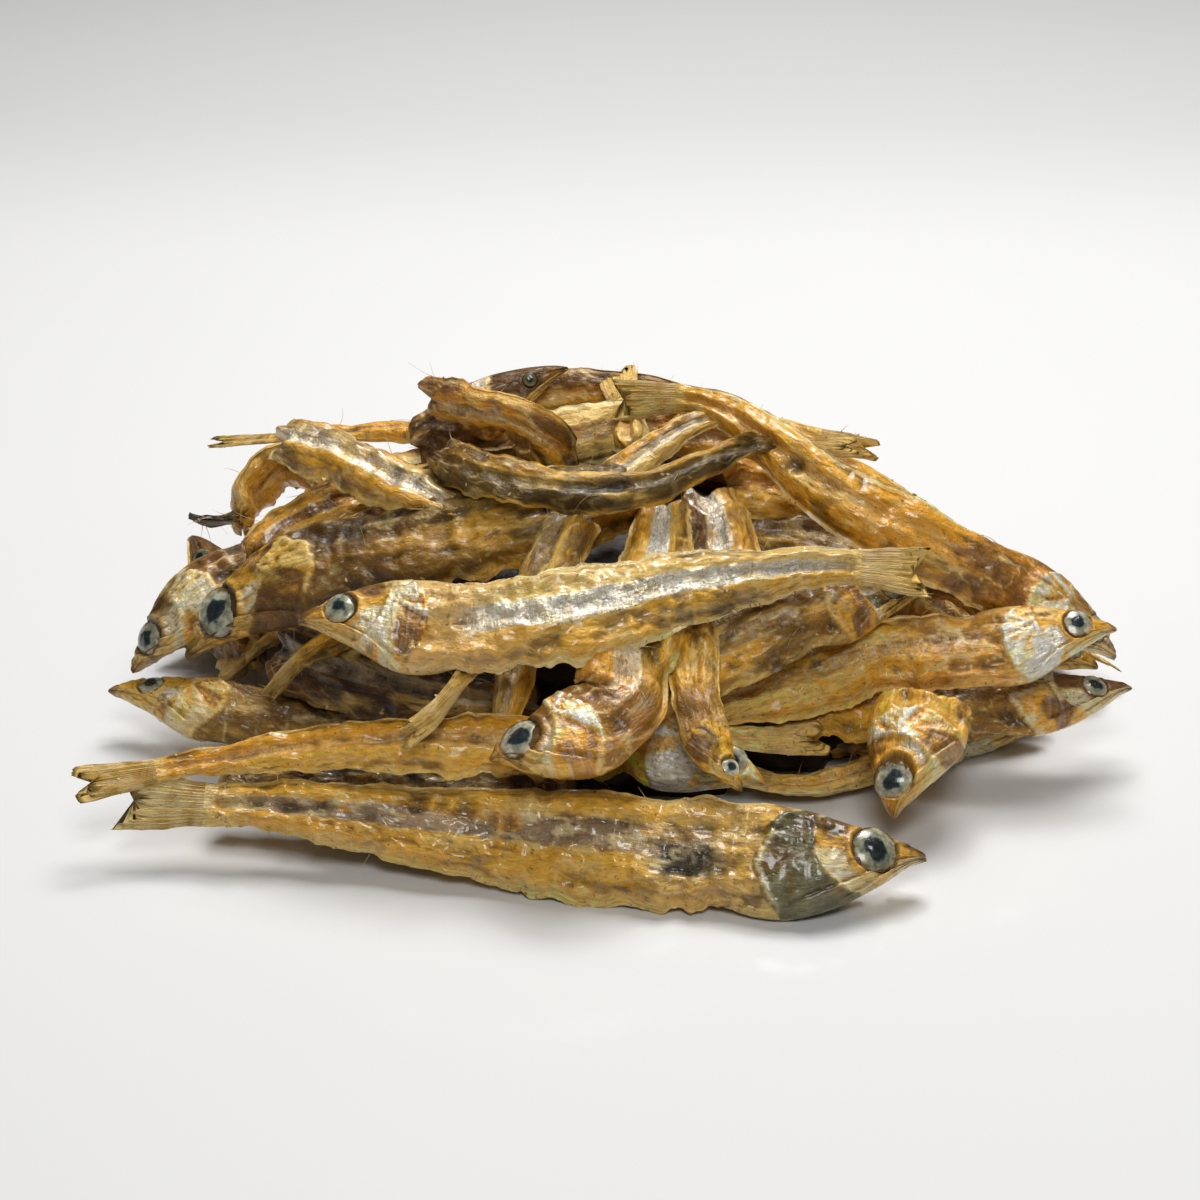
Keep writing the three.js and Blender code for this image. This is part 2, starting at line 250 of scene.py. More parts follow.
class Spine:
    """A smooth curve through a fish's spine points, with the fish's own directions along it."""

    STEPS = 1600
    PIECE_STEPS = 200

    def __init__(self, points: tuple[Place, ...], roll: tuple[float, float]) -> None:
        """Lays the curve and turns the fish's back round it.

        Args:
            points: The places it runs through, from snout to tail.
            roll: The turn of the back round the spine at its two ends, in degrees.
        """
        knots = [np.array(p) - np.array([*MIDDLE, 0.0]) for p in points]
        knots = [2 * knots[0] - knots[1], *knots, 2 * knots[-1] - knots[-2]]
        pieces = [self._piece(knots[i : i + 4]) for i in range(len(knots) - 3)]
        dense = np.concatenate([*pieces, knots[-2][None]])
        run = np.concatenate([[0.0], np.cumsum(np.linalg.norm(np.diff(dense, axis=0), axis=1))])
        self.length = float(run[-1])
        self.share = np.linspace(0.0, 1.0, self.STEPS)
        self.place = np.stack([np.interp(self.share * self.length, run, dense[:, k]) for k in range(3)], 1)
        along = np.gradient(self.place, axis=0)
        self.along = along / np.linalg.norm(along, axis=1)[:, None]
        level = np.cross(self.along, [0.0, 0.0, 1.0])
        level /= np.linalg.norm(level, axis=1)[:, None]
        turn = np.radians(blend(roll[0], roll[1], self.share))[:, None]
        self.back = np.cos(turn) * level + np.sin(turn) * np.cross(level, self.along)

    @staticmethod
    def _piece(knots: list[np.ndarray]) -> np.ndarray:
        """The curve between the middle two of four knots, faster over wider gaps.

        Args:
            knots: The four knots, in mm.

        Returns:
            Places from the second knot on, without the third.
        """
        gaps = [max(float(np.linalg.norm(knots[i + 1] - knots[i])) ** 0.5, 1e-4) for i in range(3)]
        a, b, c, d = knots
        slope = ((b - a) / gaps[0] - (c - a) / (gaps[0] + gaps[1]) + (c - b) / gaps[1]) * gaps[1]
        leave = ((c - b) / gaps[1] - (d - b) / (gaps[1] + gaps[2]) + (d - c) / gaps[2]) * gaps[1]
        w = np.linspace(0.0, 1.0, Spine.PIECE_STEPS, endpoint=False)[:, None]
        bend, twist = 3 * (c - b) - 2 * slope - leave, 2 * (b - c) + slope + leave
        return b + slope * w + bend * w**2 + twist * w**3

    def read(self, share: np.ndarray) -> tuple[np.ndarray, np.ndarray, np.ndarray, np.ndarray]:
        """The curve at each share of its length.

        Args:
            share: Shares of the curve's length; past an end the curve goes straight on.

        Returns:
            The places and the directions along the fish, to its back and out of its flank.
        """
        def pick(rows: np.ndarray) -> np.ndarray:
            """The rows at each share."""
            return np.stack([np.interp(share, self.share, rows[:, k]) for k in range(3)], -1)

        along, back = pick(self.along), pick(self.back)
        beyond = (share - np.clip(share, 0.0, 1.0)) * self.length
        return pick(self.place) + along * beyond[..., None], along, back, np.cross(along, back)


@dataclass(frozen=True)
class Outline:
    """The half sizes of a sprat along its length, as shares of its full depth."""

    share: tuple = (
        0, 0.02, 0.05, 0.09, 0.13, 0.17, 0.2, 0.24, 0.3, 0.4, 0.5, 0.6, 0.7, 0.8, 0.86, 0.9, 0.94, 1,
    )
    up: tuple = (
        0.03, 0.12, 0.22, 0.33, 0.42, 0.47, 0.49, 0.47, 0.47, 0.47, 0.44, 0.38, 0.32, 0.25, 0.2, 0.2,
        0.235, 0.27,
    )
    down: tuple = (
        0.03, 0.06, 0.16, 0.29, 0.42, 0.5, 0.5, 0.45, 0.49, 0.51, 0.48, 0.4, 0.3, 0.21, 0.17, 0.19,
        0.235, 0.27,
    )
    thick: tuple = (
        0.035, 0.09, 0.15, 0.2, 0.23, 0.24, 0.23, 0.2, 0.2, 0.2, 0.19, 0.17, 0.14, 0.1, 0.07, 0.045,
        0.03, 0.018,
    )

    def read(self, row: tuple, s: np.ndarray) -> np.ndarray:
        """One row of half sizes, smooth between the marks.

        Args:
            row: One of the rows above.
            s: Shares of the fish's length.

        Returns:
            The half size at each share, as a share of the full depth.
        """
        marks, sizes = np.array(self.share, float), np.array(row, float)
        slopes = np.gradient(sizes, marks)
        i = np.clip(np.searchsorted(marks, s, side="right") - 1, 0, len(marks) - 2)
        gap = marks[i + 1] - marks[i]
        w = np.clip((s - marks[i]) / gap, 0.0, 1.0)
        rise = (2 * w**3 - 3 * w**2 + 1) * sizes[i] + (3 * w**2 - 2 * w**3) * sizes[i + 1]
        return rise + gap * ((w**3 - 2 * w**2 + w) * slopes[i] + (w**3 - w**2) * slopes[i + 1])


@dataclass(frozen=True)
class HeadPlan:
    """Where a head's parts are. Lengths are shares of the head's, heights run from -1 at the throat to 1."""

    eye_at: float = 0.35
    eye_up: float = 0.07
    eye_radius: float = 0.19
    gill_front: float = 0.68
    fan_up: float = 0.35
    jaw_corner: float = 0.74

    def gill_edge(self, high: np.ndarray) -> np.ndarray:
        """The gill cover's rounded rear edge."""
        return 1.04 - 0.2 * np.abs(high + 0.08) ** 2.2

    def gill_seam(self, high: np.ndarray) -> np.ndarray:
        """The curved ridge in front of the gill cover."""
        return self.gill_front + 0.08 * high - 0.14 * (high - 0.1) ** 2

    def jaw_line(self, x: np.ndarray) -> np.ndarray:
        """The line of the mouth, from the snout back to the jaw's corner."""
        return -0.1 - 0.62 * np.clip(x / self.jaw_corner, 0.0, 1.3)


@dataclass(frozen=True)
class Curing:
    """The last change of a skin's colours: gain, contrast, warmth and a limit to the brightest."""

    gain: tuple[float, float, float] = (2.42, 2.29, 1.98)
    contrast: float = 0.34
    warmth: tuple[float, float, float] = (0.0, 0.06, 0.34)
    brightest: float = 0.84

    def apply(self, color: np.ndarray) -> np.ndarray:
        """Changes colours.

        Args:
            color: Linear colours.

        Returns:
            The changed linear colours.
        """
        peak = color.max(-1)[..., None]
        color = np.array(self.gain) * color * peak**self.contrast * (color / peak) ** np.array(self.warmth)
        return color * np.minimum(1.0, self.brightest / color.max(-1))[..., None]


HEAD = HeadPlan()
OUTLINE = Outline()
CURING = Curing()


@dataclass
class SkinGrid:
    """Where each point of a fish's skin is on the fish, and marks of what is there.

    share runs from 0 at the snout to 1 at the tail, high from -1 at the belly to 1 at the back, and flank is
    1 or -1. along and rise are in mm, and so are the length of the whole fish and its depth.
    """

    share: np.ndarray
    high: np.ndarray
    flank: np.ndarray
    along: np.ndarray
    rise: np.ndarray
    whole: float
    depth: float
    look: Look
    noise: DriedNoise
    marks: dict[str, np.ndarray] = field(default_factory=dict)

    @property
    def scale(self) -> float:
        """The height of its relief, next to that of a fish of RELIEF_DEPTH."""
        return self.depth / RELIEF_DEPTH

    def grain(self, length: float, height: float, layer: int = 0, layers: int = 2) -> np.ndarray:
        """Noise over the skin, other on each flank.

        Args:
            length: How long a grain is, in mm.
            height: How high a grain is, in mm.
            layer: Which noise it is.
            layers: How many layers it has.

        Returns:
            Numbers from -1 to 1.
        """
        shift = 37.0 * layer
        along = self.along / length + shift + 91.0 * self.flank
        return self.noise.at(along, self.rise / height + shift, layers)

    def ridges(self, length: float, height: float, layer: int) -> np.ndarray:
        """Noise with sharp ridges, which are 1 high."""
        return 1.0 - 2.4 * np.abs(self.grain(length, height, layer, 2))

    def mark(self) -> None:
        """Marks the head, gill cover, cheek, eye socket, stripe, edges, neck, tail and dry crust."""
        s, high, look = self.share, self.high, self.look
        x = s / GILL
        wild = high + 0.05 * self.grain(6.0, 5.0, 1) + 0.03 * self.grain(1.4, 2.0, 2)
        pivot = np.arctan2(high - HEAD.fan_up, x - HEAD.gill_front - 0.02)
        rear = x - HEAD.gill_edge(high) - 0.05 * self.noise.at(pivot * 2.2 + 17.0 * self.flank, 40.0, 3)
        head = 1.0 - ease(-0.012, 0.012, rear)
        ahead = x - HEAD.gill_seam(high)
        below = high - HEAD.jaw_line(x)
        eye_along, eye_rise = HEAD.eye_at * GILL * self.whole, HEAD.eye_up * self.depth
        reach = np.hypot(self.along - eye_along, self.rise - eye_rise)
        orbit = reach / (HEAD.eye_radius * look.eye * self.depth)
        gill = ease(-0.01, 0.015, ahead) * head
        cheek = (1 - ease(-0.02, 0.01, ahead)) * ease(0.0, 0.05, below) * (1 - ease(0.0, 0.25, wild))
        cheek = cheek * ease(0.3, 0.42, x) * ease(1.15, 1.3, orbit)
        centre = look.stripe_at + 0.04 * self.noise.at(self.along / 30.0, 3.0)
        inside = look.stripe_width - np.abs(wild - centre)
        stripe = ease(-0.02, 0.05, inside) * ease(0.235, 0.29, s) * (1 - ease(0.8, 0.92, s))
        broken = np.clip(look.stripe_share * 1.25 + 0.28 * self.grain(12.0, 5.0, 3), 0.0, 1.0)
        tail = ease(TAIL_ROOT - 0.02, TAIL_ROOT + 0.012, s + 0.006 * self.grain(2.0, 1.0, 4))
        worn = np.abs(high) + 0.09 * self.grain(3.0, 3.0, 5, 3)
        dry = ease(0.3, 0.42, self.grain(3.2, 1.7, 33, 4) + 0.12 * (look.flecks - 0.4))
        flaky = np.clip(stripe + 0.35 + 0.5 * ease(0.75, 0.95, worn), 0, 1)
        fan_reach = np.hypot(high - HEAD.fan_up, 3 * (x - HEAD.gill_front))
        self.marks = {
            "x": x,
            "wild": wild,
            "rear": rear,
            "ahead": ahead,
            "below": below,
            "orbit": orbit,
            "head": head,
            "gill": gill,
            "cheek": cheek,
            "centre": centre,
            "tail": tail,
            "fan": 2.0 * self.noise.at(pivot * 4.5 + 70.0 * self.flank, fan_reach, 3),
            "crust": dry * look.flecks * flaky * (1 - head) * (1 - tail),
            "stripe": stripe * broken * (1 - head),
            "line": stripe * hill(inside - 0.02, 0.05),
            "over": ease(-0.1, 0.1, wild - centre),
            "edge": ease(0.8, 0.95, worn) * (1 - head) * (1 - tail),
            "neck": (1 - ease(0.26, 0.4, s + 0.05 * self.grain(5.0, 4.0, 6))) * (1 - head),
        }

    def relief(self) -> np.ndarray:
        """How far the dried flesh stands out of the plain form.

        Returns:
            Heights in mm. The body's own folds are kept among the marks.
        """
        m, head, body = self.marks, self.marks["head"], 1.0 - self.marks["head"]
        flesh = body * (1.0 - m["tail"])
        dip = -0.95 * hill(m["wild"] - m["centre"], self.look.stripe_width) * ease(0.24, 0.32, self.share)
        folds = 0.45 * self.grain(13.0, 1.9, 7) + 0.42 * self.grain(10.0, 3.0, 8)
        folds = folds + 0.2 * self.grain(1.1, 3.0, 9)
        folds = folds + 0.24 * self.ridges(9.0, 2.4, 27) + 0.34 * self.ridges(2.8, 2.4, 28)
        crease = 0.14 * m["stripe"] * self.grain(0.8, 4.0, 10)
        rays = 0.09 * m["tail"] * np.sin(self.high * 46.0)
        shrunk = -0.35 * hill(m["rear"] - 0.1, 0.09) * body
        m["folds"] = flesh * (1.2 * folds + crease + 0.12 * m["crust"])
        form = flesh * dip + m["folds"] + rays + shrunk
        gill = m["gill"] * (0.45 + 0.2 * m["fan"])
        gill = gill + 0.16 * hill(m["rear"] + 0.03, 0.025) * head
        seam = 0.3 * hill(m["ahead"], 0.022) * (1 - ease(0.55, 0.75, self.high))
        lip, mouth = hill(m["below"] + 0.12, 0.08), hill(m["below"], 0.035)
        jaw = 0.4 * lip - 0.4 * mouth - 0.3 * hill(m["below"] + 0.3, 0.04)
        jaw = jaw * (1 - ease(HEAD.jaw_corner, HEAD.jaw_corner + 0.12, m["x"]))
        throat = 0.12 * np.sin(m["below"] * 34.0 + m["x"] * 6.0) * (1 - ease(-0.75, -0.5, self.high))
        ring = 0.34 * hill(m["orbit"] - 1.1, 0.13) - 0.75 * (1 - ease(0.9, 1.04, m["orbit"]))
        crown = 0.3 * self.ridges(3.0, 1.1, 11) * ease(0.3, 0.6, self.high) + 0.16 * self.grain(1.0, 1.0, 12)
        skull = gill + seam + jaw + throat + ring + crown - 0.18 * m["cheek"]
        return self.scale * (form + head * skull)

    def paint(self, relief: np.ndarray) -> tuple[np.ndarray, np.ndarray]:
        """Colours the skin, with painted shade in its hollows and painted light on its ridges.

        Args:
            relief: How far each point stands out, in mm: hollows are painted darker as shade, ridges lighter
                as light.

        Returns:
            Linear colours, and the shares of silver, flecks and gloss.
        """
        m, look = self.marks, self.look
        color = np.zeros((*self.share.shape, 3))

        def lay(tone: Tone, share: np.ndarray) -> None:
            """Lays a tone over the colours, as thick as its share."""
            nonlocal color
            color = blend(color, tone.linear(), np.clip(share, 0.0, 1.0)[..., None])

        lay(look.belly, np.ones(self.share.shape))
        lay(look.back, m["over"])
        lay(look.patch, look.patch_share * ease(-0.15, 0.4, self.grain(16.0, 3.4, 13, 3)))
        lay(Tone.MOSS, look.dull_share * ease(0.1, 0.4, self.grain(13.0, 2.4, 14, 4)))
        lay(Tone.RUST, 0.38 * ease(0.25, 0.55, self.grain(11.0, 2.0, 30, 4)))
        lay(Tone.STRAW, 0.55 * ease(0.22, 0.4, self.grain(9.0, 1.9, 31, 4)))
        lay(Tone.BROWN, 0.55 * m["line"] * ease(-0.4, 0.4, self.grain(6.0, 3.0, 16)))
        lay(look.stripe, m["stripe"])
        lay(look.patch, 0.55 * m["stripe"] * ease(0.32, 0.44, self.grain(6.0, 2.0, 17, 4)))
        lay(Tone.CREAM, 0.75 * m["crust"])
        lay(look.edge, look.edge_share * m["edge"])
        lay(Tone.BROWN, 0.5 * hill(np.abs(self.high) - 0.78, 0.05) * (1 - m["tail"]))
        lay(look.neck, look.neck_share * m["neck"])
        lay(Tone.RUST, look.neck_share * 0.8 * m["neck"] * ease(0.1, 0.3, self.grain(4.0, 2.5, 18, 4)))
        lay(look.tail, 0.85 * m["tail"])
        lay(Tone.OCHRE, 0.6 * m["tail"] * ease(-0.2, 0.6, self.noise.at(self.high * 19.0, 5.0)))
        if look.bruise:
            gap = (self.share - look.bruise[0]) * self.whole / 3.6
            gap = np.hypot(gap, (m["wild"] - look.bruise[1]) / 0.3)
            lay(Tone.INK, 0.85 * (1 - ease(0.6, 1.3, gap + 0.5 * self.grain(2.0, 0.7, 35, 3))))
            lay(Tone.CREAM, 0.6 * (1 - ease(0.9, 1.5, gap)) * ease(0.25, 0.4, self.grain(2.6, 0.25, 36, 2)))
        lay(Tone.BROWN, 0.6 * ease(0.7, 0.98, self.ridges(6.0, 1.3, 38)) * (1 - m["tail"]))
        lay(Tone.CREAM, 0.26 * ease(0.78, 1.0, self.ridges(4.0, 1.7, 39)) * (1 - m["tail"]))
        streaks = 1.03 + 0.46 * self.grain(11.0, 2.4, 19, 3) + 0.3 * self.grain(1.6, 0.7, 20, 3)
        body = color * streaks[..., None]

        lay(look.head, np.ones(self.share.shape))
        lay(Tone.AMBER, 0.45 * ease(0.0, 0.5, self.grain(3.0, 2.0, 21)))
        lay(look.crown, 0.85 * ease(0.3, 0.62, m["wild"] + 0.1 * self.grain(1.5, 1.0, 22)))
        lay(look.under, 0.9 * m["gill"])
        lay(look.gill, m["gill"] * ease(-0.35, 0.3, m["fan"] + 0.4 * self.grain(3.0, 3.0, 32)))
        lay(Tone.GLASSY, 0.7 * m["gill"] * ease(0.0, 0.4, self.grain(3.5, 3.0, 23)))
        lay(Tone.BROWN, 0.85 * m["gill"] * ease(0.3, 0.65, 0.3 * self.grain(1.5, 1.5, 24) - m["fan"]))
        lay(look.cheek, 0.95 * m["cheek"])
        lay(Tone.SILVER, 0.9 * m["cheek"] * ease(0.0, 0.25, self.grain(2.5, 0.6, 34, 3)))
        lay(Tone.SILVER, 0.8 * look.silver * m["gill"] * ease(0.25, 0.45, m["fan"]))
        jaw = (1 - ease(-0.03, 0.02, m["below"])) * (1 - m["gill"])
        lay(look.jaw, 0.95 * jaw)
        lines = self.noise.at(m["below"] * 17.0 + 9.0 * self.flank, m["x"] * 2.0)
        lay(Tone.BROWN, 0.7 * jaw * ease(0.0, 0.35, lines))
        rims = np.maximum(hill(m["ahead"], 0.022), hill(m["rear"] + 0.03, 0.022))
        lay(look.jaw, 0.75 * rims * ease(-0.15, 0.3, self.grain(2.0, 2.0, 29, 3)))
        lay(Tone.BROWN, 0.75 * hill(m["below"], 0.04) * (1 - m["gill"]))
        lay(look.head, 0.6 * (1 - ease(1.2, 1.55, m["orbit"])))
        lay(Tone.BROWN, 0.7 * (1 - ease(1.0, 1.1, m["orbit"])))
        lay(Tone.BROWN, 0.8 * (1 - ease(0.03, 0.12, m["x"])))
        # Painted shadow: a dark band just behind the gill cover's rear edge, where the cover shades the
        # body.
        lay(Tone.DARK, 0.8 * hill(m["rear"] - 0.03, 0.03))
        lay(Tone.BROWN, 0.7 * ease(0.6, 0.98, self.ridges(2.8, 1.1, 37)) * (1 - 0.5 * m["gill"]))
        spots = 1.08 + 0.34 * self.grain(1.8, 1.0, 25, 3) + 0.14 * self.grain(0.7, 0.5, 26)
        skull = color * spots[..., None]
        # Painted shade: the gill cover is darkened by gill_darkening, to hold back the light of the lamps it
        # faces.
        skull = skull * (1 - look.gill_darkening * m["gill"])[..., None]

        color = blend(body, skull, m["head"][..., None])
        # Painted shade and light: each colour darkens in the hollows and grooves of the relief and lightens
        # on its ridges.
        rise = np.where(m["head"] > 0.5, 0.6 * relief / self.scale, m["folds"])
        relief_shade = np.clip(1.02 + 0.95 * np.minimum(rise, 0.35), 0.5, 1.4)
        color = CURING.apply(np.clip(color * look.shade * relief_shade[..., None], 0.002, 1.0))
        silver = m["stripe"] * look.silver + m["head"] * (0.9 * m["cheek"] + 0.6 * m["gill"]) * look.silver
        flecks = 0.04 + 0.7 * m["stripe"] + 0.3 * m["neck"] + 0.3 * m["edge"]
        flecks = look.flecks * flecks * (1 - m["tail"])
        gloss = look.gloss * (1 - 0.7 * m["tail"]) * (1 - 0.5 * m["edge"])
        return color, np.stack([np.clip(silver, 0, 1), np.clip(flecks, 0, 1), np.clip(gloss, 0, 1)], -1)


@dataclass
class Sprat:
    """One dried sprat, or the part of one that is there.

    depth is its full depth in mm from back to belly, roll the turn of its back at its two ends in degrees,
    spine the places it runs through from snout to tail, and part the shares of a whole fish between which it
    is there. ragged is how worn its edges are, and fine how closely its rings and points stand.
    """

    name: str
    depth: float
    roll: tuple[float, float]
    spine: tuple[Place, ...]
    part: tuple[float, float] = (0.0, 1.0)
    look: Look = GOLDEN
    ragged: float = 1.0
    fine: float = 1.0

    def __post_init__(self) -> None:
        """Lays its spine and works out its skin."""
        self.line = Spine(self.spine, self.roll)
        self.whole = self.line.length / (self.part[1] - self.part[0])
        self.noise = DriedNoise(sum(ord(c) * (i + 3) for i, c in enumerate(self.name)))
        self._sweep()

    def _stations(self) -> np.ndarray:
        """Where the rings are, closest together on the head and the tail fin.

        Returns:
            The rings' shares of a whole fish.
        """
        shares = [self.part[0]]
        while shares[-1] < self.part[1]:
            s = shares[-1]
            step = HEAD_GAP if s < NECK + 0.02 else BODY_GAP if s < TAIL_ROOT - 0.02 else FIN_GAP
            shares.append(s + step / self.fine / self.whole)
        rings = np.array(shares)
        return self.part[0] + (rings - rings[0]) * (self.part[1] - self.part[0]) / (rings[-1] - rings[0])

    def _turns(self) -> np.ndarray:
        """Where a ring's points are, closest together on the flank that shows.

        Returns:
            Turns round the ring, from 0 at the back over the first flank to the belly and on.
        """
        out = float(self.line.read(np.linspace(0, 1, 9))[3][:, 2].mean())
        share = 0.5 if abs(out) < 0.35 else 0.66 if out > 0 else 0.34
        count = int(RING_POINTS * self.fine ** 0.5)
        first = max(14, int(count * share))
        second = max(14, count - first)
        near = np.linspace(0, math.pi, first, endpoint=False)
        return np.concatenate([near, np.linspace(math.pi, 2 * math.pi, second, endpoint=False)])

    def _sweep(self) -> None:
        """Sweeps the skin along the spine and works out its marks and its relief."""
        s0, turns = self._stations()[:, None], self._turns()[None, :]
        high, side = np.cos(turns), np.sin(turns)
        flank = np.where(turns <= math.pi, 1.0, -1.0)
        s = np.broadcast_to(s0, (s0.shape[0], turns.shape[1]))
        first, last = self.part
        start, end = self._torn(high, 5.0, first), self._torn(high, 9.0, last)
        if last >= 1.0:
            fork = 0.03 * (1 - np.abs(high))
            end = fork + 0.05 * np.abs(self.noise.at(high * 11.0, 31.0, 3)) * self.ragged
        near = 0.12 * (last - first)
        s = s + start * (1 - ease(first, first + near, s)) - end * ease(last - near, last, s)
        along = s * self.whole
        up = OUTLINE.read(OUTLINE.up, s)
        down = OUTLINE.read(OUTLINE.down, s)
        body = ease(NECK - 0.01, NECK + 0.05, s) * (1 - 0.6 * ease(0.84, 0.9, s))
        n, r = self.noise, self.ragged
        torn = r * (0.35 + 1.3 * np.abs(n.at(along / 12.0, 16.0)))
        up = up * (1 + body * (0.09 * r * n.at(along / 8.0, 2.0) + 0.12 * torn * n.at(along / 2.2, 4.0, 4)))
        frayed = 0.13 * r * n.at(along / 7.0, 6.0) + 0.18 * torn * n.at(along / 2.0, 8.0, 4)
        down = down * (1 + body * frayed)
        rise = self.depth * np.where(high > 0, up, down) * high
        high_grid, flank_grid = np.broadcast_to(high, s.shape), np.broadcast_to(flank, s.shape)
        grid = SkinGrid(s, high_grid, flank_grid, along, rise, self.whole, self.depth, self.look, n)
        grid.mark()
        relief = grid.relief()
        rim = blend(1.0, np.where(high > 0, 0.93, 0.87), body)
        core = np.sqrt(np.clip(1.0 - (np.abs(high) / rim) ** 2.2, 0.0, 1.0))
        thin = 0.16 * np.sqrt(np.clip(1 - high**2, 0, 1))
        thick = OUTLINE.read(OUTLINE.thick, s) * self.depth * blend(np.abs(side), core, body) + thin * body
        opening = np.clip((s - first - start) * self.whole / 1.0, 0, 1)
        close = opening * np.clip((last - end - s) * self.whole / 0.8, 0, 1)
        close = np.sqrt(np.clip(1 - (1 - close) ** 2, 0.0, 1.0))
        free = np.clip((1 - np.abs(high)) * 7.0, 0.0, 1.0)
        out = np.maximum(thick + relief * free * blend(1.0, 0.5, grid.marks["tail"]), 0.05)
        out = out * blend(0.12, 1.0, close)
        wave = 0.9 * r * n.at(along / 7.0, 12.0) + 0.4 * torn * n.at(along / 2.6, 14.0)
        wave = body * np.abs(high) ** 3 * wave
        place, _, back, side_way = self.line.read((s - first) / (last - first))
        tips = blend(0.55, 1.0, close) if first > 0 or last < 1 else 1.0
        away = flank * out * (np.abs(side) > 1e-9) + wave
        points = place + back * (rise * tips)[..., None] + side_way * away[..., None]
        points[..., 2] = np.maximum(points[..., 2], 0.0)
        self.points, self.grid, self.relief = points, grid, relief

    def _torn(self, high: np.ndarray, layer: float, at: float) -> np.ndarray:
        """How far each height of a torn end is held back.

        Args:
            high: The heights, from -1 to 1.
            layer: Where its noise is read, other for each end.
            at: The end's share of the whole fish; the snout and the tail aren't torn.

        Returns:
            Shares of the length.
        """
        if at <= 0.0 or at >= 1.0:
            return np.zeros_like(high)
        return 1.6 / self.whole * self.ragged * (1 + self.noise.at(high * 2.6, layer, 3))

    def skin(self) -> bpy.types.Object:
        """The skin as a closed mesh with its colours and its map.

        Returns:
            The piece, named after the fish.
        """
        color, zones = self.grid.paint(self.relief)
        steps = np.diff(self.points, axis=1, append=self.points[:, :1])
        girth = np.cumsum(np.linalg.norm(steps, axis=2), axis=1)
        across = np.concatenate([[0.0], girth[len(girth) // 2]])
        shift = (self.noise.seed % 97) * 0.31
        along, around = self.grid.along[:, :1] / MAP_STEP + shift, across[None, :] / MAP_STEP + shift
        mesh = tube_mesh(self.name, self.points, np.stack(np.broadcast_arrays(along, around), -1))
        for label, rows in (("paint", color), ("zones", zones)):
            full = np.concatenate([rows.reshape(-1, 3), rows[0].mean(0)[None], rows[-1].mean(0)[None]])
            full = np.concatenate([full, np.ones((len(full), 1))], 1)
            keep_values(mesh, label, PointValue.FLOAT_COLOR, full)
        return new_piece(self.name, mesh)

    def eye_places(self) -> list[tuple[np.ndarray, np.ndarray, np.ndarray, float, float]]:
        """The eyes that aren't turned down into the heap.

        Returns:
            For each eye its centre, its outward way, the way along the fish, its radius in mm and how pale
            it is.
        """
        if self.part[0] > 0:
            return []
        eyes = []
        radius = HEAD.eye_radius * self.look.eye * self.depth
        orbit = self.grid.marks["orbit"]
        share = np.array([HEAD.eye_at * GILL / (self.part[1] - self.part[0])])
        spot, along, back, out = (rows[0] for rows in self.line.read(share))
        aim = spot + back * HEAD.eye_up * self.depth
        for hand in (1.0, -1.0):
            ring = self.points[(orbit > 0.98) & (orbit < 1.25) & (self.grid.flank == hand)]
            if len(ring) < 8:
                continue
            normal = np.linalg.svd(ring - ring.mean(0))[2][2]
            normal = normal * np.sign(normal @ out * hand)
            normal = normal * 0.6 + out * hand * 0.4
            normal /= np.linalg.norm(normal)
            if normal[2] > -0.45:
                centre = aim + normal * ((ring.mean(0) - aim) @ normal)
                eyes.append((centre, normal, along, radius, self.look.iris))
        return eyes


class PointValue(Enum):
    """The kinds of value that a mesh keeps for its points, each with the name of its numbers."""

    FLOAT = "value"
    FLOAT_VECTOR = "vector"
    FLOAT_COLOR = "color"


def keep_values(mesh: bpy.types.Mesh, label: str, kind: PointValue, rows: np.ndarray) -> None:
    """Keeps a value for each point of a mesh under a label."""
    data = mesh.attributes.new(label, kind.name, "POINT").data
    data.foreach_set(kind.value, np.asarray(rows, np.float32).ravel())


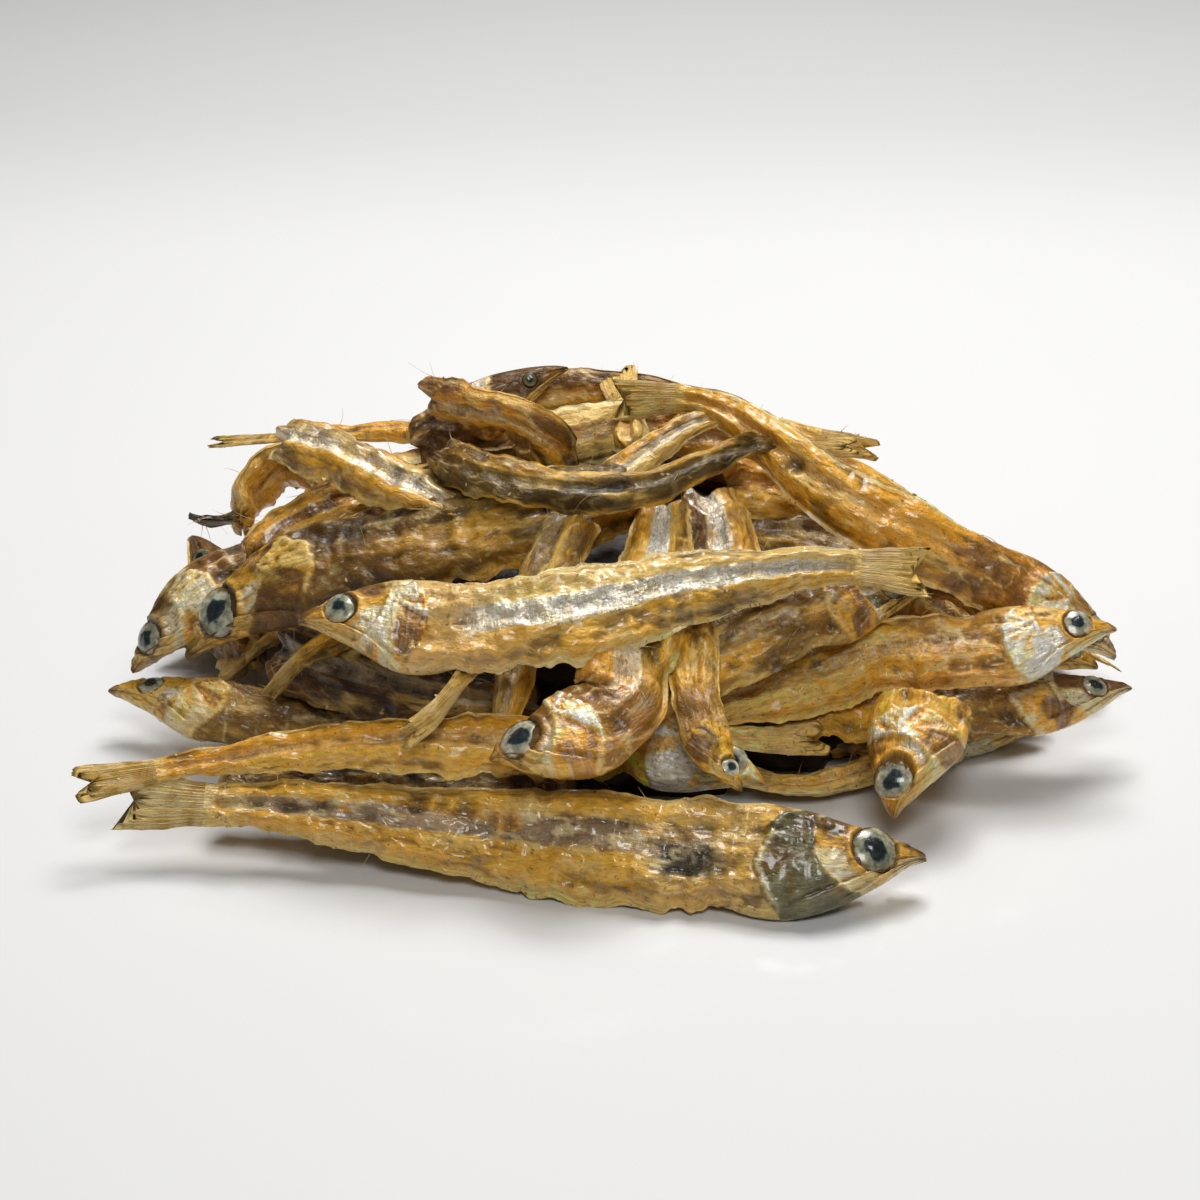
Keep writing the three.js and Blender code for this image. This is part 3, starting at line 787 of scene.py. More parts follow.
def tube_mesh(name: str, points: np.ndarray, uv: np.ndarray) -> bpy.types.Mesh:
    """A closed mesh from rings of points, in metres.

    Args:
        name: The mesh's name.
        points: The rings in mm, as rings by turns by 3; both ends are closed on a middle point.
        uv: The map, as rings by turns + 1 by 2.

    Returns:
        The mesh with its faces pointing out, smooth, with the map skin_map.
    """
    rings, turns = points.shape[:2]
    ends = np.stack([points[0].mean(0), points[-1].mean(0)])
    verts = np.concatenate([points.reshape(-1, 3), ends]) * MM
    i, k = np.meshgrid(np.arange(rings - 1), np.arange(turns), indexing="ij")
    after = (k + 1) % turns
    ring, below = i * turns, (i + 1) * turns
    quads = np.stack([ring + k, ring + after, below + after, below + k], -1).reshape(-1, 4)
    turn = np.arange(turns)
    cap = np.stack([(turn + 1) % turns, turn, np.full(turns, rings * turns)], -1)
    far = np.stack([turn, (turn + 1) % turns, np.full(turns, rings * turns + 1 - (rings - 1) * turns)], -1)
    far = far + (rings - 1) * turns
    loops = np.concatenate([quads.ravel(), cap.ravel(), far.ravel()])
    sizes = np.concatenate([np.full(len(quads), 4), np.full(2 * turns, 3)])
    mesh = bpy.data.meshes.new(name)
    mesh.vertices.add(len(verts))
    mesh.vertices.foreach_set("co", verts.astype(np.float32).ravel())
    mesh.loops.add(len(loops))
    mesh.loops.foreach_set("vertex_index", loops.astype(np.int32))
    mesh.polygons.add(len(sizes))
    starts = np.concatenate([[0], np.cumsum(sizes)[:-1]])
    mesh.polygons.foreach_set("loop_start", starts.astype(np.int32))
    mesh.polygons.foreach_set("loop_total", sizes.astype(np.int32))
    mesh.polygons.foreach_set("use_smooth", np.ones(len(sizes), bool))
    corner = np.stack([uv[:-1, :-1], uv[:-1, 1:], uv[1:, 1:], uv[1:, :-1]], 2).reshape(-1, 2)
    near_uv = np.stack([uv[0, 1:], uv[0, :-1], (uv[0, 1:] + uv[0, :-1]) / 2], 1).reshape(-1, 2)
    far_uv = np.stack([uv[-1, :-1], uv[-1, 1:], (uv[-1, 1:] + uv[-1, :-1]) / 2], 1).reshape(-1, 2)
    layer = mesh.uv_layers.new(name="skin_map")
    layer.data.foreach_set("uv", np.concatenate([corner, near_uv, far_uv]).astype(np.float32).ravel())
    mesh.update(calc_edges=True)
    mesh.validate()
    return mesh


def new_mesh(name: str, verts: list, edges: list, faces: list) -> bpy.types.Mesh:
    """Makes a plain mesh.

    Args:
        name: The mesh's name.
        verts: Its points, in metres.
        edges: Its edges, as pairs of points.
        faces: Its faces, as rings of points.

    Returns:
        The mesh.
    """
    mesh = bpy.data.meshes.new(name)
    mesh.from_pydata(verts, edges, faces)
    return mesh


def new_piece(name: str, mesh: bpy.types.Mesh) -> bpy.types.Object:
    """Puts a mesh into the scene.

    Args:
        name: The piece's name.
        mesh: Its mesh, with its place already in it.

    Returns:
        The piece.
    """
    piece = bpy.data.objects.new(name, mesh)
    bpy.context.scene.collection.objects.link(piece)
    return piece


@dataclass
class EyeSet:
    """All the eyes of the heap: low glossy lenses in their sockets."""

    sprats: list[Sprat]
    rings: int = 12
    turns: int = 30
    bulge: float = 0.3
    sunk: float = 0.12
    seed: int = 400

    def build(self) -> bpy.types.Object:
        """Makes every eye a closed lens whose values hold the radius, the turn and the paleness.

        Returns:
            The piece eyes.
        """
        verts, faces, maps = [], [], []
        places = [eye for one in self.sprats for eye in one.eye_places()]
        for index, (centre, out, along, radius, pale) in enumerate(places):
            noise = DriedNoise(index + self.seed)
            first = along - out * (along @ out)
            first /= np.linalg.norm(first)
            second = np.cross(out, first)
            base = len(verts)
            for r in np.linspace(1.0, 0.0, self.rings + 1)[:-1]:
                for k in range(self.turns):
                    a = 2 * math.pi * k / self.turns
                    dent = 0.05 * float(noise.at(np.array(r * 2.0 * math.cos(a)), r * 2.0 * math.sin(a)))
                    height = self.bulge * (1 - r**2) ** 0.8 + dent * (1 - r**4) - self.sunk
                    spot = r * math.cos(a) * first + r * math.sin(a) * second + height * out
                    verts.append(centre + radius * spot)
                    maps.append((r, k / self.turns, pale))
            verts.append(centre + radius * out * (self.bulge - self.sunk))
            maps.append((0.0, 0.5, pale))
            verts.append(centre - radius * out * 0.5)
            maps.append((1.0, 0.5, pale))
            top, under = base + self.rings * self.turns, base + self.rings * self.turns + 1
            last = base + (self.rings - 1) * self.turns
            for ring in range(base, last, self.turns):
                for k in range(self.turns):
                    a, b = ring + k, ring + (k + 1) % self.turns
                    faces.append((a, b, b + self.turns, a + self.turns))
            for k in range(self.turns):
                after = (k + 1) % self.turns
                faces.append((last + k, last + after, top))
                faces.append((base + after, base + k, under))
        mesh = new_mesh("eyes", [tuple(np.maximum(v, [-1e9, -1e9, 0.0]) * MM) for v in verts], [], faces)
        mesh.polygons.foreach_set("use_smooth", np.ones(len(faces), bool))
        keep_values(mesh, "iris", PointValue.FLOAT_VECTOR, np.array(maps, np.float32))
        return new_piece("eyes", mesh)


class NodeSheet:
    """Adds nodes to one tree and joins them."""

    def __init__(self, tree: bpy.types.NodeTree) -> None:
        """Keeps the tree."""
        self.tree = tree

    def feed(self, node: bpy.types.Node, values: dict) -> None:
        """Gives a node its inputs.

        Args:
            node: The node.
            values: Its inputs by name or number: a socket to join, or a plain value.
        """
        for key, value in values.items():
            if isinstance(value, bpy.types.NodeSocket):
                self.tree.links.new(value, node.inputs[key])
            else:
                node.inputs[key].default_value = value

    def add(self, kind: str, values: dict | None = None, **settings: object) -> bpy.types.Node:
        """Adds a node.

        Args:
            kind: The node's type.
            values: Its inputs, as for feed.
            settings: Its properties.

        Returns:
            The node.
        """
        node = self.tree.nodes.new(kind)
        for key, value in settings.items():
            setattr(node, key, value)
        self.feed(node, values or {})
        return node

    def math(self, operation: str, *values: object) -> bpy.types.NodeSocket:
        """What an operation makes of its numbers or sockets."""
        return self.add("ShaderNodeMath", dict(enumerate(values)), operation=operation).outputs[0]

    def mix(self, share: object, first: object, second: object, how: str = "MIX") -> bpy.types.NodeSocket:
        """A mix of two colours."""
        node = self.add("ShaderNodeMix", {0: share, 6: first, 7: second}, data_type="RGBA", blend_type=how)
        return node.outputs[2]

    def step(
        self, value: object, low: float, high: float, to: tuple[float, float] = (0.0, 1.0)
    ) -> bpy.types.NodeSocket:
        """A value moved smoothly from one range to another."""
        ends = {"Value": value, "From Min": low, "From Max": high, "To Min": to[0], "To Max": to[1]}
        return self.add("ShaderNodeMapRange", ends, interpolation_type="SMOOTHSTEP").outputs[0]

    def grey(self, value: bpy.types.NodeSocket) -> bpy.types.NodeSocket:
        """A value as a grey colour."""
        return self.add("ShaderNodeCombineColor", {0: value, 1: value, 2: value}).outputs[0]

    def read(self, name: str, output: str) -> bpy.types.NodeSocket:
        """A value that the mesh keeps for its points."""
        return self.add("ShaderNodeAttribute", attribute_name=name).outputs[output]

    def place(self) -> bpy.types.NodeSocket:
        """The place on the piece, in metres."""
        return self.add("ShaderNodeTexCoord").outputs["Object"]

    def cloud(self, scale: float, detail: float) -> bpy.types.NodeSocket:
        """Soft noise through the piece, with scale spots to the metre."""
        values = {"Vector": self.place(), "Scale": scale, "Detail": detail}
        return self.add("ShaderNodeTexNoise", values).outputs["Fac"]

    def bump(self, strength: float, distance: float, height: bpy.types.NodeSocket) -> bpy.types.NodeSocket:
        """The normal of a surface with this height, with the distance in metres."""
        values = {"Strength": strength, "Distance": distance, "Height": height}
        return self.add("ShaderNodeBump", values).outputs[0]

    def kept(self, label: str, kind: PointValue) -> bpy.types.NodeSocket:
        """A value that a geometry's points keep under a label."""
        node = self.add("GeometryNodeInputNamedAttribute", {"Name": label}, data_type=kind.name)
        return node.outputs[0]

    def end(self, geometry: bpy.types.NodeSocket, finish: bpy.types.NodeSocket) -> None:
        """Ends a geometry tree with plain meshes.

        Args:
            geometry: What the tree has made.
            finish: The material it gets.
        """
        real = self.add("GeometryNodeRealizeInstances", {0: geometry})
        done = self.add("GeometryNodeSetMaterial", {"Geometry": real.outputs[0], "Material": finish})
        self.add("NodeGroupOutput", {0: done.outputs[0]})


def new_tree(
    name: str, kind: str, inputs: dict[str, tuple[str, object]], output: tuple[str, str]
) -> NodeSheet:
    """Makes a node tree that has only its sockets.

    Args:
        name: The tree's name.
        kind: The tree's type.
        inputs: Each input's type and value by its name. A value of None stays unset.
        output: The output's name and type.

    Returns:
        The tree's sheet.
    """
    tree = bpy.data.node_groups.new(name, kind)
    for label, (form, value) in inputs.items():
        socket = tree.interface.new_socket(label, in_out="INPUT", socket_type="NodeSocket" + form)
        if value is not None:
            socket.default_value = value
    tree.interface.new_socket(output[0], in_out="OUTPUT", socket_type="NodeSocket" + output[1])
    return NodeSheet(tree)


class DriedGrain:
    """The shader group of the skin's fibres, creases, mottle and crumbs: noise stretched along the fish."""

    NAME = "Dried grain"

    @classmethod
    def group(cls) -> bpy.types.NodeTree:
        """Builds the group once.

        Returns:
            The group. It takes a map in steps of MAP_STEP mm, a grain's length and height in mm and its
            detail.
        """
        if cls.NAME in bpy.data.node_groups:
            return bpy.data.node_groups[cls.NAME]
        sizes = {"Length": ("Float", 4.0), "Height": ("Float", 1.0), "Detail": ("Float", 4.0)}
        inputs = {"Map": ("Vector", None), **sizes}
        sheet = new_tree(cls.NAME, "ShaderNodeTree", inputs, ("Grain", "Float"))
        given = sheet.add("NodeGroupInput").outputs
        size = sheet.add("ShaderNodeCombineXYZ", {0: given["Length"], 1: given["Height"], 2: 1.0}).outputs[0]
        wide = sheet.add("ShaderNodeVectorMath", {0: given["Map"], 1: (MAP_STEP,) * 3}, operation="MULTIPLY")
        steps = sheet.add("ShaderNodeVectorMath", {0: wide.outputs[0], 1: size}, operation="DIVIDE")
        values = {"Vector": steps.outputs[0], "Scale": 1.0, "Detail": given["Detail"], "Roughness": 0.6}
        noise = sheet.add("ShaderNodeTexNoise", values, noise_dimensions="2D")
        sheet.add("NodeGroupOutput", {"Grain": noise.outputs["Fac"]})
        return sheet.tree

    @classmethod
    def use(
        cls, sheet: NodeSheet, where: bpy.types.NodeSocket, length: float, height: float, detail: float
    ) -> bpy.types.NodeSocket:
        """Places the group in a material and returns its grain."""
        values = {"Map": where, "Length": length, "Height": height, "Detail": detail}
        return sheet.add("ShaderNodeGroup", node_tree=cls.group(), values=values).outputs["Grain"]


@dataclass(frozen=True)
class Finish:
    """What every finish shares: it names its material and says what its shader is given."""

    NAME: ClassVar[str] = "finish"

    def inputs(self, sheet: NodeSheet) -> dict[str, object]:
        """The shader's inputs: sockets where they change over the surface, and plain values."""
        raise NotImplementedError

    def material(self) -> bpy.types.Material:
        """Builds the material.

        Returns:
            The material, under the finish's name.
        """
        material = bpy.data.materials.new(self.NAME)
        material.use_nodes = True
        sheet = NodeSheet(material.node_tree)
        sheet.feed(material.node_tree.nodes["Principled BSDF"], self.inputs(sheet))
        return material


@dataclass(frozen=True)
class SkinFinish(Finish):
    """Dried fish skin: painted bands, fibres, silver wrinkles, pale flecks and dark specks."""

    NAME: ClassVar[str] = "dried_skin"
    rough: float = 0.36
    silver_rough: float = 0.26
    metal: float = 0.55
    fleck: Tone = Tone.CREAM
    warmth: tuple[float, ...] = (0.9, 0.8, 0.46, 1.0)
    glint: tuple[float, ...] = (0.78, 0.76, 0.78, 1.0)
    speck: tuple[float, ...] = (0.05, 0.025, 0.01, 1.0)

    def inputs(self, sheet: NodeSheet) -> dict[str, object]:
        """Says what the shader is given.

        Args:
            sheet: The material's nodes.

        Returns:
            The shader's inputs by name.
        """
        where = sheet.add("ShaderNodeUVMap", uv_map="skin_map").outputs[0]
        paint = sheet.read("paint", "Color")
        zones = sheet.add("ShaderNodeSeparateColor", {0: sheet.read("zones", "Color")})
        silver, flecked, gloss = zones.outputs[0], zones.outputs[1], zones.outputs[2]
        fibre = DriedGrain.use(sheet, where, 1.5, 0.36, 5.0)
        creases = DriedGrain.use(sheet, where, 0.5, 2.4, 2.0)
        mottle = DriedGrain.use(sheet, where, 1.5, 1.0, 5.0)
        crumbs = DriedGrain.use(sheet, where, 0.5, 0.32, 3.0)
        dots = DriedGrain.use(sheet, where, 0.7, 0.6, 2.0)
        color = sheet.mix(1.0, paint, sheet.grey(sheet.step(fibre, 0.34, 0.64, (0.82, 1.12))), "MULTIPLY")
        color = sheet.mix(sheet.step(mottle, 0.46, 0.66, (0.0, 0.45)), color, self.warmth, "MULTIPLY")
        bright = sheet.math("MULTIPLY", silver, sheet.step(creases, 0.42, 0.7, (0.0, 0.45)))
        color = sheet.mix(bright, color, self.glint)
        pale = sheet.math("MULTIPLY", flecked, sheet.step(crumbs, 0.58, 0.68))
        color = sheet.mix(pale, color, self.fleck.opaque())
        color = sheet.mix(sheet.step(dots, 0.69, 0.74, (0.0, 0.6)), color, self.speck)
        rough = sheet.add("ShaderNodeMix", {0: silver, 2: self.rough, 3: self.silver_rough}).outputs[0]
        rough = sheet.math("ADD", rough, sheet.step(mottle, 0.3, 0.7, (-0.12, 0.16)))
        height = sheet.math("ADD", sheet.math("MULTIPLY", fibre, 0.25), sheet.math("MULTIPLY", mottle, 1.0))
        ripples = sheet.math("MULTIPLY", creases, sheet.math("MULTIPLY", silver, 0.45))
        height = sheet.math("ADD", sheet.math("ADD", height, ripples), sheet.math("MULTIPLY", pale, 0.35))
        return {
            "Base Color": color,
            "Roughness": sheet.math("ADD", rough, sheet.math("MULTIPLY", pale, 0.3)),
            "Metallic": sheet.math("MULTIPLY", silver, self.metal),
            "Coat Weight": sheet.math("MULTIPLY", gloss, sheet.step(mottle, 0.35, 0.6, (0.3, 1.15))),
            "Coat Roughness": 0.14,
            "Specular IOR Level": 0.42,
            "Normal": sheet.bump(0.9, 0.0005, height),
        }


@dataclass(frozen=True)
class EyeFinish(Finish):
    """A dried eye: a blue-grey pupil in a cream iris with streaks, and a dark rim."""

    NAME: ClassVar[str] = "dried_eye"
    pupil: float = 0.42
    rim: float = 0.88

    def inputs(self, sheet: NodeSheet) -> dict[str, object]:
        """Says what the shader is given.

        Args:
            sheet: The material's nodes.

        Returns:
            The shader's inputs by name.
        """
        parts = sheet.add("ShaderNodeSeparateXYZ", {0: sheet.read("iris", "Vector")})
        cloud = sheet.cloud(1300.0, 4.0)
        streaks = sheet.step(sheet.cloud(520.0, 4.0), 0.3, 0.7, (-0.15, 0.15))
        ramp = sheet.add("ShaderNodeValToRGB", {0: sheet.math("ADD", parts.outputs[0], streaks)})
        stops = (
            (0.0, (0.012, 0.018, 0.022)),
            (self.pupil - 0.05, (0.022, 0.034, 0.04)),
            (self.pupil, (0.08, 0.1, 0.095)),
            (self.pupil + 0.06, (0.34, 0.35, 0.26)),
            (0.72, (0.52, 0.5, 0.36)),
            (self.rim, (0.58, 0.52, 0.37)),
            (self.rim + 0.1, (0.2, 0.12, 0.05)),
        )
        marks = ramp.color_ramp.elements
        marks[0].position, marks[0].color = stops[0][0], (*stops[0][1], 1)
        marks[1].position, marks[1].color = stops[-1][0], (*stops[-1][1], 1)
        for place, tone in stops[1:-1]:
            marks.new(place).color = (*tone, 1)
        grey = sheet.grey(sheet.step(cloud, 0.3, 0.7, (0.5, 1.25)))
        color = sheet.mix(1.0, ramp.outputs[0], grey, "MULTIPLY")
        tint = sheet.mix(parts.outputs[2], (0.42, 0.44, 0.34, 1.0), (1.15, 1.15, 1.15, 1.0))
        return {
            "Base Color": sheet.mix(1.0, color, tint, "MULTIPLY"),
            "Roughness": sheet.step(cloud, 0.3, 0.7, (0.12, 0.3)),
            "Coat Weight": 0.7,
            "Coat Roughness": 0.06,
            "Normal": sheet.bump(0.4, 0.0002, cloud),
        }


@dataclass(frozen=True)
class FibreFinish(Finish):
    """Thin dry rays, fibres and crumbs, straw-coloured with darker spots."""

    NAME: ClassVar[str] = "dry_fibre"
    pale: Tone = Tone.STRAW
    dark: Tone = Tone.OCHRE
    rough: float = 0.45

    def inputs(self, sheet: NodeSheet) -> dict[str, object]:
        """Says what the shader is given.

        Args:
            sheet: The material's nodes.

        Returns:
            The shader's inputs by name.
        """
        cloud = sheet.cloud(500.0, 3.0)
        return {
            "Base Color": sheet.mix(sheet.step(cloud, 0.4, 0.65), self.pale.opaque(), self.dark.opaque()),
            "Roughness": sheet.step(cloud, 0.3, 0.7, (self.rough, self.rough + 0.2)),
        }


@dataclass(frozen=True)
class CoreFinish(Finish):
    """The heap's core, painted dark as the shade in the gaps between the fish."""

    NAME: ClassVar[str] = "heap_shade"
    base: Tone = Tone.DARK
    warm: Tone = Tone.RUST
    shade: float = 0.7

    def inputs(self, sheet: NodeSheet) -> dict[str, object]:
        """Says what the shader is given.

        Args:
            sheet: The material's nodes.

        Returns:
            The shader's inputs by name.
        """
        cloud = sheet.cloud(260.0, 6.0)
        share = sheet.step(cloud, 0.5, 0.75, (0.0, 0.5))
        return {
            "Base Color": sheet.mix(share, self.base.opaque(self.shade), self.warm.opaque(self.shade)),
            "Roughness": sheet.step(cloud, 0.3, 0.7, (0.45, 0.75)),
            "Normal": sheet.bump(1.0, 0.0008, cloud),
        }


@dataclass(frozen=True)
class TableFinish(Finish):
    """The plain pale table, painted a little darker far behind the heap as shade. shade_fade runs between
    two y in metres.
    """

    NAME: ClassVar[str] = "pale_table"
    color: tuple[float, float, float] = (0.785, 0.782, 0.775)
    cloudy: tuple[float, float, float] = (0.76, 0.757, 0.748)
    # Painted shade: the table's colour far behind the heap, where it darkens.
    far: tuple[float, float, float] = (0.69, 0.69, 0.687)
    shade_fade: tuple[float, float] = (0.17, 0.27)
    rough: float = 0.13
    shine: float = 0.13

    def inputs(self, sheet: NodeSheet) -> dict[str, object]:
        """Says what the shader is given.

        Args:
            sheet: The material's nodes.

        Returns:
            The shader's inputs by name.
        """
        share = sheet.step(sheet.cloud(9.0, 3.0), 0.35, 0.65, (0.0, 0.25))
        # Painted shade: the table darkens between the two y of shade_fade.
        behind = sheet.step(sheet.add("ShaderNodeSeparateXYZ", {0: sheet.place()}).outputs[1], *self.shade_fade)
        color = sheet.mix(share, (*self.color, 1.0), (*self.cloudy, 1.0))
        return {
            "Base Color": sheet.mix(behind, color, (*self.far, 1.0)),
            "Roughness": self.rough,
            "Specular IOR Level": self.shine,
        }


@dataclass
class Core:
    """The hidden fish in the heap's middle, as one ridged dome with a flat foot, which gets a dark finish of
    painted shade.
    """

    length: float = 68.0
    width: float = 50.0
    height: float = 28.0
    centre: tuple[float, float] = (1.0, 10.5)
    lump: float = 3.2
    rings: int = 60
    turns: int = 160
    seed: int = 77

    def build(self) -> bpy.types.Object:
        """Makes the dome.

        Returns:
            The piece inner_heap.
        """
        noise = DriedNoise(self.seed)
        climb = np.linspace(0.0, math.pi / 2 * 0.985, self.rings)[:, None]
        turn = np.linspace(0, -2 * math.pi, self.turns, endpoint=False)[None, :]
        x = np.cos(climb) * np.cos(turn)
        y = np.cos(climb) * np.sin(turn)
        z = np.sin(climb) * np.ones_like(turn)
        fold = 1.0 - 2.4 * np.abs(noise.at(x * 1.6 + y, z * 5 + y * 5, 3))
        lump = 1.0 + self.lump / self.width * (1.6 * fold + noise.at(x * 9 + y * 3, z * 9 + y * 7, 3))
        across = self.centre[0] - MIDDLE[0] + self.length / 2 * x * lump
        deep = self.centre[1] - MIDDLE[1] + self.width / 2 * y * lump
        points = np.stack([across, deep, self.height * z * (0.9 + 0.1 * lump)], -1)
        uv = np.zeros((self.rings, self.turns + 1, 2))
        return new_piece("inner_heap", tube_mesh("inner_heap", points, uv))


@dataclass
class Strands:
    """Thin dry rays and fibres that follow paths, each a tapered tube, none lower than lowest mm."""

    name: str
    sides: int = 5
    lowest: float = 0.03
    paths: list[tuple[np.ndarray, float, float]] = field(default_factory=list)

    def add(self, path: np.ndarray, root: float, tip: float) -> None:
        """Adds a path in mm with the radius at its two ends."""
        self.paths.append((np.maximum(path, [-1e9, -1e9, max(root, self.lowest)]), root, tip))

    @staticmethod
    def tree(name: str) -> bpy.types.GeometryNodeTree:
        """Builds the tree that gives each path its tube.

        Args:
            name: The tree's name.

        Returns:
            The tree. Its inputs are the paths, the number of sides and the finish.
        """
        inputs = {"Paths": ("Geometry", None), "Sides": ("Int", 5), "Finish": ("Material", None)}
        sheet = new_tree(name, "GeometryNodeTree", inputs, ("Tubes", "Geometry"))
        given = sheet.add("NodeGroupInput").outputs
        curve = sheet.add("GeometryNodeMeshToCurve", {0: given["Paths"]}).outputs[0]
        girth = sheet.kept("girth", PointValue.FLOAT)
        ring = sheet.add("GeometryNodeCurvePrimitiveCircle", {"Resolution": given["Sides"], "Radius": 1.0})
        values = {"Curve": curve, "Profile Curve": ring.outputs[0], "Scale": girth, "Fill Caps": True}
        sheet.end(sheet.add("GeometryNodeCurveToMesh", values).outputs[0], given["Finish"])
        return sheet.tree

    def build(self, material: bpy.types.Material) -> bpy.types.Object:
        """Makes all the tubes one plain mesh.

        Args:
            material: Their finish.

        Returns:
            The piece, under the strands' name.
        """
        verts, edges, girths = [], [], []
        for path, root, tip in self.paths:
            base = len(verts)
            verts.extend(tuple(p * MM) for p in path)
            edges.extend((base + i, base + i + 1) for i in range(len(path) - 1))
            girths.extend(np.linspace(root, tip, len(path)) * MM)
        mesh = new_mesh(self.name + "_paths", verts, edges, [])
        keep_values(mesh, "girth", PointValue.FLOAT, np.array(girths, np.float32))
        host = new_piece(self.name + "_paths", mesh)
        return grown(self.name, host, self.tree(self.name), {"Sides": self.sides, "Finish": material})


def grown(
    name: str, host: bpy.types.Object, tree: bpy.types.GeometryNodeTree, values: dict
) -> bpy.types.Object:
    """Runs a geometry tree on a host and keeps what it makes as a plain mesh.

    Args:
        name: The new piece's name.
        host: The object the tree reads; it is removed.
        tree: The tree.
        values: Its inputs by name.

    Returns:
        The new piece.
    """
    modifier = host.modifiers.new(name, "NODES")
    modifier.node_group = tree
    for item in tree.interface.items_tree:
        if item.item_type == "SOCKET" and item.in_out == "INPUT" and item.name in values:
            modifier[item.identifier] = values[item.name]
    host.update_tag()
    ready = host.evaluated_get(bpy.context.evaluated_depsgraph_get())
    mesh = bpy.data.meshes.new_from_object(ready)
    mesh.name = name
    old = host.data
    bpy.data.objects.remove(host)
    bpy.data.meshes.remove(old)
    return new_piece(name, mesh)


@dataclass
class TailRays:
    """The rays of the tail fins, most of which run out past the fin's worn edge.

    radius is a ray's radius at its root on a fish that is radius_depth deep, in mm.
    """

    sprats: list[Sprat]
    count: int = 22
    radius: float = 0.075
    radius_depth: float = 12.0
    tip: float = 0.025

    def build(self, material: bpy.types.Material) -> bpy.types.Object:
        """Makes the rays of every whole tail.

        Args:
            material: Their finish.

        Returns:
            The piece tail_rays.
        """
        strands = Strands("tail_rays")
        for one in self.sprats:
            if one.part[1] < 1.0:
                continue
            share = one.grid.share[:, 0]
            root = int(np.searchsorted(share, TAIL_ROOT + 0.004))
            if root >= len(share) - 4:
                continue
            rng = np.random.default_rng(one.noise.seed)
            for flank in (1.0, -1.0):
                columns = np.where((one.grid.flank[0] == flank) & (np.abs(one.grid.high[0]) < 0.985))[0]
                picks = columns[np.linspace(0, len(columns) - 1, self.count).astype(int)]
                for k in picks:
                    path = one.points[root::4, k]
                    if len(path) < 3:
                        continue
                    way = path[-1] - path[-2]
                    way /= max(np.linalg.norm(way), 1e-6)
                    path = np.concatenate([path[:-1], (path[-1] + way * rng.uniform(-0.1, 0.9))[None]])
                    strands.add(path, self.radius * one.depth / self.radius_depth, self.tip)
        return strands.build(material)


@dataclass
class DryFibres:
    """Loose hairs of dried flesh on the skins."""

    sprats: list[Sprat]
    per_sprat: int = 14
    length: tuple[float, float] = (1.2, 4.0)
    radius: tuple[float, float] = (0.03, 0.06)
    tip: float = 0.012
    seed: int = 5

    def build(self, material: bpy.types.Material) -> bpy.types.Object:
        """Makes the fibres.

        Args:
            material: Their finish.

        Returns:
            The piece dry_fibres.
        """
        strands = Strands("dry_fibres", sides=4)
        for one in self.sprats:
            rng = np.random.default_rng(one.noise.seed + self.seed)
            rings = len(one.points)
            shown = one.grid.flank[0] == (1.0 if one.line.read(np.array([0.5]))[3][0][2] > 0 else -1.0)
            for _ in range(self.per_sprat):
                i, k = int(rng.integers(3, rings - 8)), int(rng.choice(np.where(shown)[0]))
                share = one.grid.share[i, k]
                if share < NECK:
                    continue
                share = np.array([(share - one.part[0]) / (one.part[1] - one.part[0])])
                along, back, out = (rows[0] for rows in one.line.read(share)[1:])
                way = along * rng.uniform(-1, 1) + back * rng.uniform(-0.7, 0.7)
                way /= np.linalg.norm(way)
                bend = np.cross(way, out) * rng.uniform(-0.35, 0.35)
                t = np.linspace(0, 1, 6)[:, None] * rng.uniform(*self.length)
                arch = 0.04 + 0.25 * np.sin(t / t[-1] * math.pi * rng.uniform(0.5, 1.0))
                path = one.points[i, k] + way * t + bend * t**2 * 0.3 + out * one.grid.flank[i, k] * arch
                strands.add(path, rng.uniform(*self.radius), self.tip)
        return strands.build(material)


